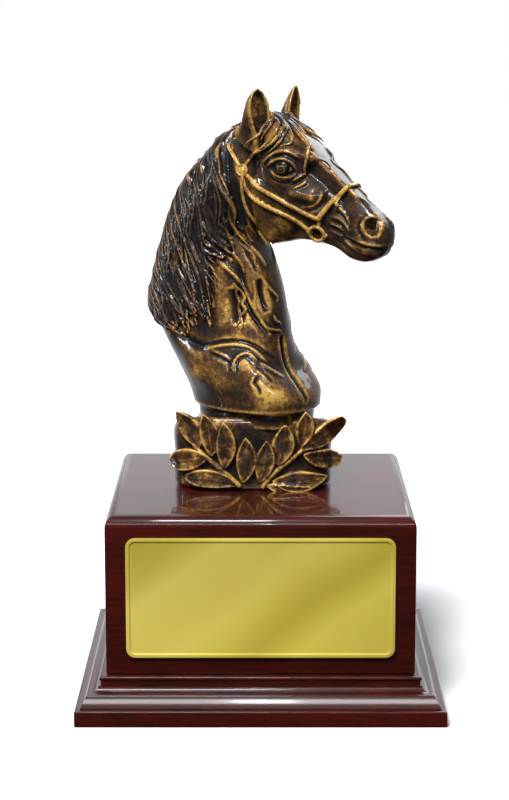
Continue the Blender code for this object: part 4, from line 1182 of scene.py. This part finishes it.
def shadeSmooth(piece, angle=None):
    pickOnly(piece)
    if angle is None:
        bpy.ops.object.shade_smooth()
    else:
        bpy.ops.object.shade_smooth_by_angle(angle=math.radians(angle))


def dress(piece, material, node):
    piece.data.materials.clear()
    piece.data.materials.append(material)
    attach(piece, "root")
    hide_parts(node)


def placeOnPlinth(piece, turned):  # from the horse's grid to its place, in metres
    points = pointsOf(piece)
    if turned:
        points = turnUpright(points, -horse["turn"])
    points = points * horse["grid"] + (horse["x"], horse["y"], horse["foot"])
    setPoints(piece, points)
    shadeSmooth(piece)


print("sculpting the bust")
bust = fuse("horseBust", [headSkin(), neckSkin(), earSkin(near), earSkin(far)], horse["voxel"], 6)
bareSurface = surfaceOf(bust)
refineFace(bust)
sculptStrokes(bust, bareSurface, sculpt["faceForms"], sculpt["bodyForms"], 1.0)
formedSurface = surfaceOf(bust)
sculptStrokes(bust, formedSurface, sculpt["faceLines"], sculpt["bodyLines"], sculpt["strength"])
ridgeLayer(bust, *sculpt["ridges"])
giltLayer(bust)
skinSurface = surfaceOf(bust)
finishWith(bust, "DECIMATE", ratio=sculpt["triangles"])  # keeps it under 200,000 triangles

print("setting the eyes")
eyeSkins, eyeAway = [], []
for side in (near, far):
    place, normal = seenAt(formedSurface, *onHead(*eye["place"]), side)
    middle = place - normal * eye["sunk"]
    deselect()
    bpy.ops.mesh.primitive_uv_sphere_add(segments=40, ring_count=24, radius=eye["ball"])
    ball = bpy.context.active_object
    points = pointsOf(ball)
    eyeAway.append(np.linalg.norm(points[:, :2], axis=1) + 5 * (points[:, 2] < 0))
    spin = Vector((0, 0, 1)).rotation_difference(Vector(normal)).to_matrix()
    eyeSkins.append((points @ np.array(spin).T + middle, [tuple(f.vertices) for f in ball.data.polygons]))
    bpy.data.objects.remove(ball)
eyes = makePiece("eyes", joinSkins(eyeSkins))
setLayer(eyes, "iris", np.concatenate(eyeAway))

print("combing the mane and the forelock")
maneHair = fuse("mane", maneSkins(skinSurface), mane["voxel"], 0)
ridgeLayer(maneHair, *mane["ridges"])
browHair = fuse("forelock", forelockSkins(skinSurface), forelock["voxel"], 0)
ridgeLayer(browHair, *mane["ridges"])

print("buckling the halter")
strapSkins, metalSkins = halterSkins(skinSurface)
straps = makePiece("halterStraps", joinSkins(strapSkins))
fittings = makePiece("halterFittings", joinSkins(metalSkins))
for piece in (straps, fittings):
    setLayer(piece, "ridge", np.full(len(piece.data.vertices), 0.5))

print("laying the rock and the laurel")
rock = fuse("baseRock", [rockSkin()], base["voxel"], 2)
lowerCorners(rock)
laurel = fuse("laurel", laurelSkins(surfaceOf(rock)), base["leafVoxel"], 0)
ridgeLayer(rock, *base["ridges"])
ridgeLayer(laurel, *base["leafRidges"])

print("building the plinth")
foot, block, plate = addFoot(), addBlock(), addPlate()

print("finishing the surfaces")
rubbedGold = rubbedGoldGroup()
looks = {name: bronzeMaterial(name, rubbedGold, *look) for name, look in bronze["looks"].items()}
redLacquer, goldPlate = lacquerMaterial(), plateMaterial()

casting = (
    (bust, looks["bustBronze"], True), (eyes, eyeMaterial(), True), (maneHair, looks["maneBronze"], True),
    (browHair, looks["maneBronze"], True), (straps, looks["strapGold"], True),
    (fittings, looks["strapGold"], True), (rock, looks["rockBronze"], False),
    (laurel, looks["leafBronze"], False),
)
for piece, material, turned in casting:
    placeOnPlinth(piece, turned)
    dress(piece, material, "horse_casting")
for piece, material, slot, node in ((foot, redLacquer, "red_lacquer", "plinth_foot"),
                                    (block, redLacquer, "red_lacquer", "plinth_block"),
                                    (plate, goldPlate, "gold_plate", "name_plate")):
    shadeSmooth(piece, 35)
    dress(piece, material, node)

print("setting up the studio")
studio = {
    "lens": 2243 * 36 / 800,
    "shift": -(260.6 - 254.5) / 800,
    "distance": 0.8734,
    "eyeHeight": 0.27807,
    "down": 0.188,
    "floor": {"Base Color": (0.8, 0.8, 0.8, 1), "Roughness": 0.9, "Specular IOR Level": 0.0},
    "around": ((0.45, (0.015, 0.015, 0.016)), (0.74, (0.07, 0.07, 0.075)), (0.93, (0.66, 0.66, 0.69))),
    # name, place, target, power, size, colour
    "areas": (
        ("stripFront", (0.0, -1.0, 0.75), (0, 0, 0.1), 2.5, (1.2, 0.06), (1, 1, 1)),
        ("sideLeft", (-1.0, 0.12, 0.5), (0, 0, 0.15), 1.2, (0.05, 0.4), (0.90, 0.95, 1.0)),
        ("topSoft", (-0.1, -0.45, 1.1), (0, 0, 0.15), 4.2, (0.24, 0.17), (0.86, 0.93, 1.0)),
        ("behindRight", (0.50, 0.85, 0.85), (0, 0, 0.2), 2.6, (0.7, 0.5), (0.90, 0.95, 1.0)),
        ("hotMiddle", (0.002, -1.1, 0.83), (0, 0, 0.1), 0.35, (0.045, 0.03), (0.93, 0.92, 1.0)),
    ),
}


def addFloor():
    deselect()
    bpy.ops.mesh.primitive_plane_add(size=8, location=(0, 0, 0))
    floor = bpy.context.active_object
    floor.name = "floor"
    material, tree, shader = newMaterial("paleFloor")
    setInputs(tree, shader, studio["floor"])
    floor.data.materials.append(material)
    floor.visible_diffuse = False  # keeps its white out of the bronze and the lacquer
    floor.visible_glossy = False


def addLamp(kind, name, place, target, power):
    deselect()
    bpy.ops.object.light_add(type=kind, location=place)
    lamp = bpy.context.active_object
    lamp.name = name
    lamp.data.energy = power
    lamp.rotation_euler = (Vector(target) - Vector(place)).to_track_quat("-Z", "Y").to_euler()
    return lamp


world = bpy.data.worlds.new("studio")
bpy.context.scene.world = world
world.use_nodes = True
tree = world.node_tree
room = tree.nodes["Background"]
generated = addNode(tree, "ShaderNodeTexCoord").outputs["Generated"]
toward = addNode(tree, "ShaderNodeSeparateXYZ", {0: generated}).outputs["Y"]
setInputs(tree, room, {"Color": rampNode(tree, scaledBy(tree, toward, 0.5, 0.5), studio["around"])})
backdrop = addNode(tree, "ShaderNodeBackground", {"Color": (1, 1, 1, 1), "Strength": 1.0})
inPicture = addNode(tree, "ShaderNodeLightPath").outputs["Is Camera Ray"]
seen = addNode(tree, "ShaderNodeMixShader", {0: inPicture, 1: room.outputs[0], 2: backdrop.outputs[0]})
setInputs(tree, tree.nodes["World Output"], {"Surface": seen.outputs[0]})

addFloor()
key = addLamp("SUN", "softKey", (-0.5, -0.9, 1.3), (0, 0, 0), 6.2)
key.data.angle = math.radians(25)
key.visible_glossy = False
for name, place, target, power, size, color in studio["areas"]:
    lamp = addLamp("AREA", name, place, target, power)
    lamp.data.shape = "RECTANGLE"
    lamp.data.size, lamp.data.size_y = size
    lamp.data.color = color

cameraData = bpy.data.cameras.new("camera")
cameraData.sensor_width = 36
cameraData.lens = studio["lens"]
cameraData.shift_x = studio["shift"]
camera = bpy.data.objects.new("camera", cameraData)
bpy.context.scene.collection.objects.link(camera)
camera.matrix_world = (Matrix.Translation((0, -studio["distance"], studio["eyeHeight"]))
                       @ Matrix.Rotation(math.radians(90) - studio["down"], 4, "X"))
bpy.context.scene.camera = camera
bpy.context.scene.view_settings.view_transform = "Standard"
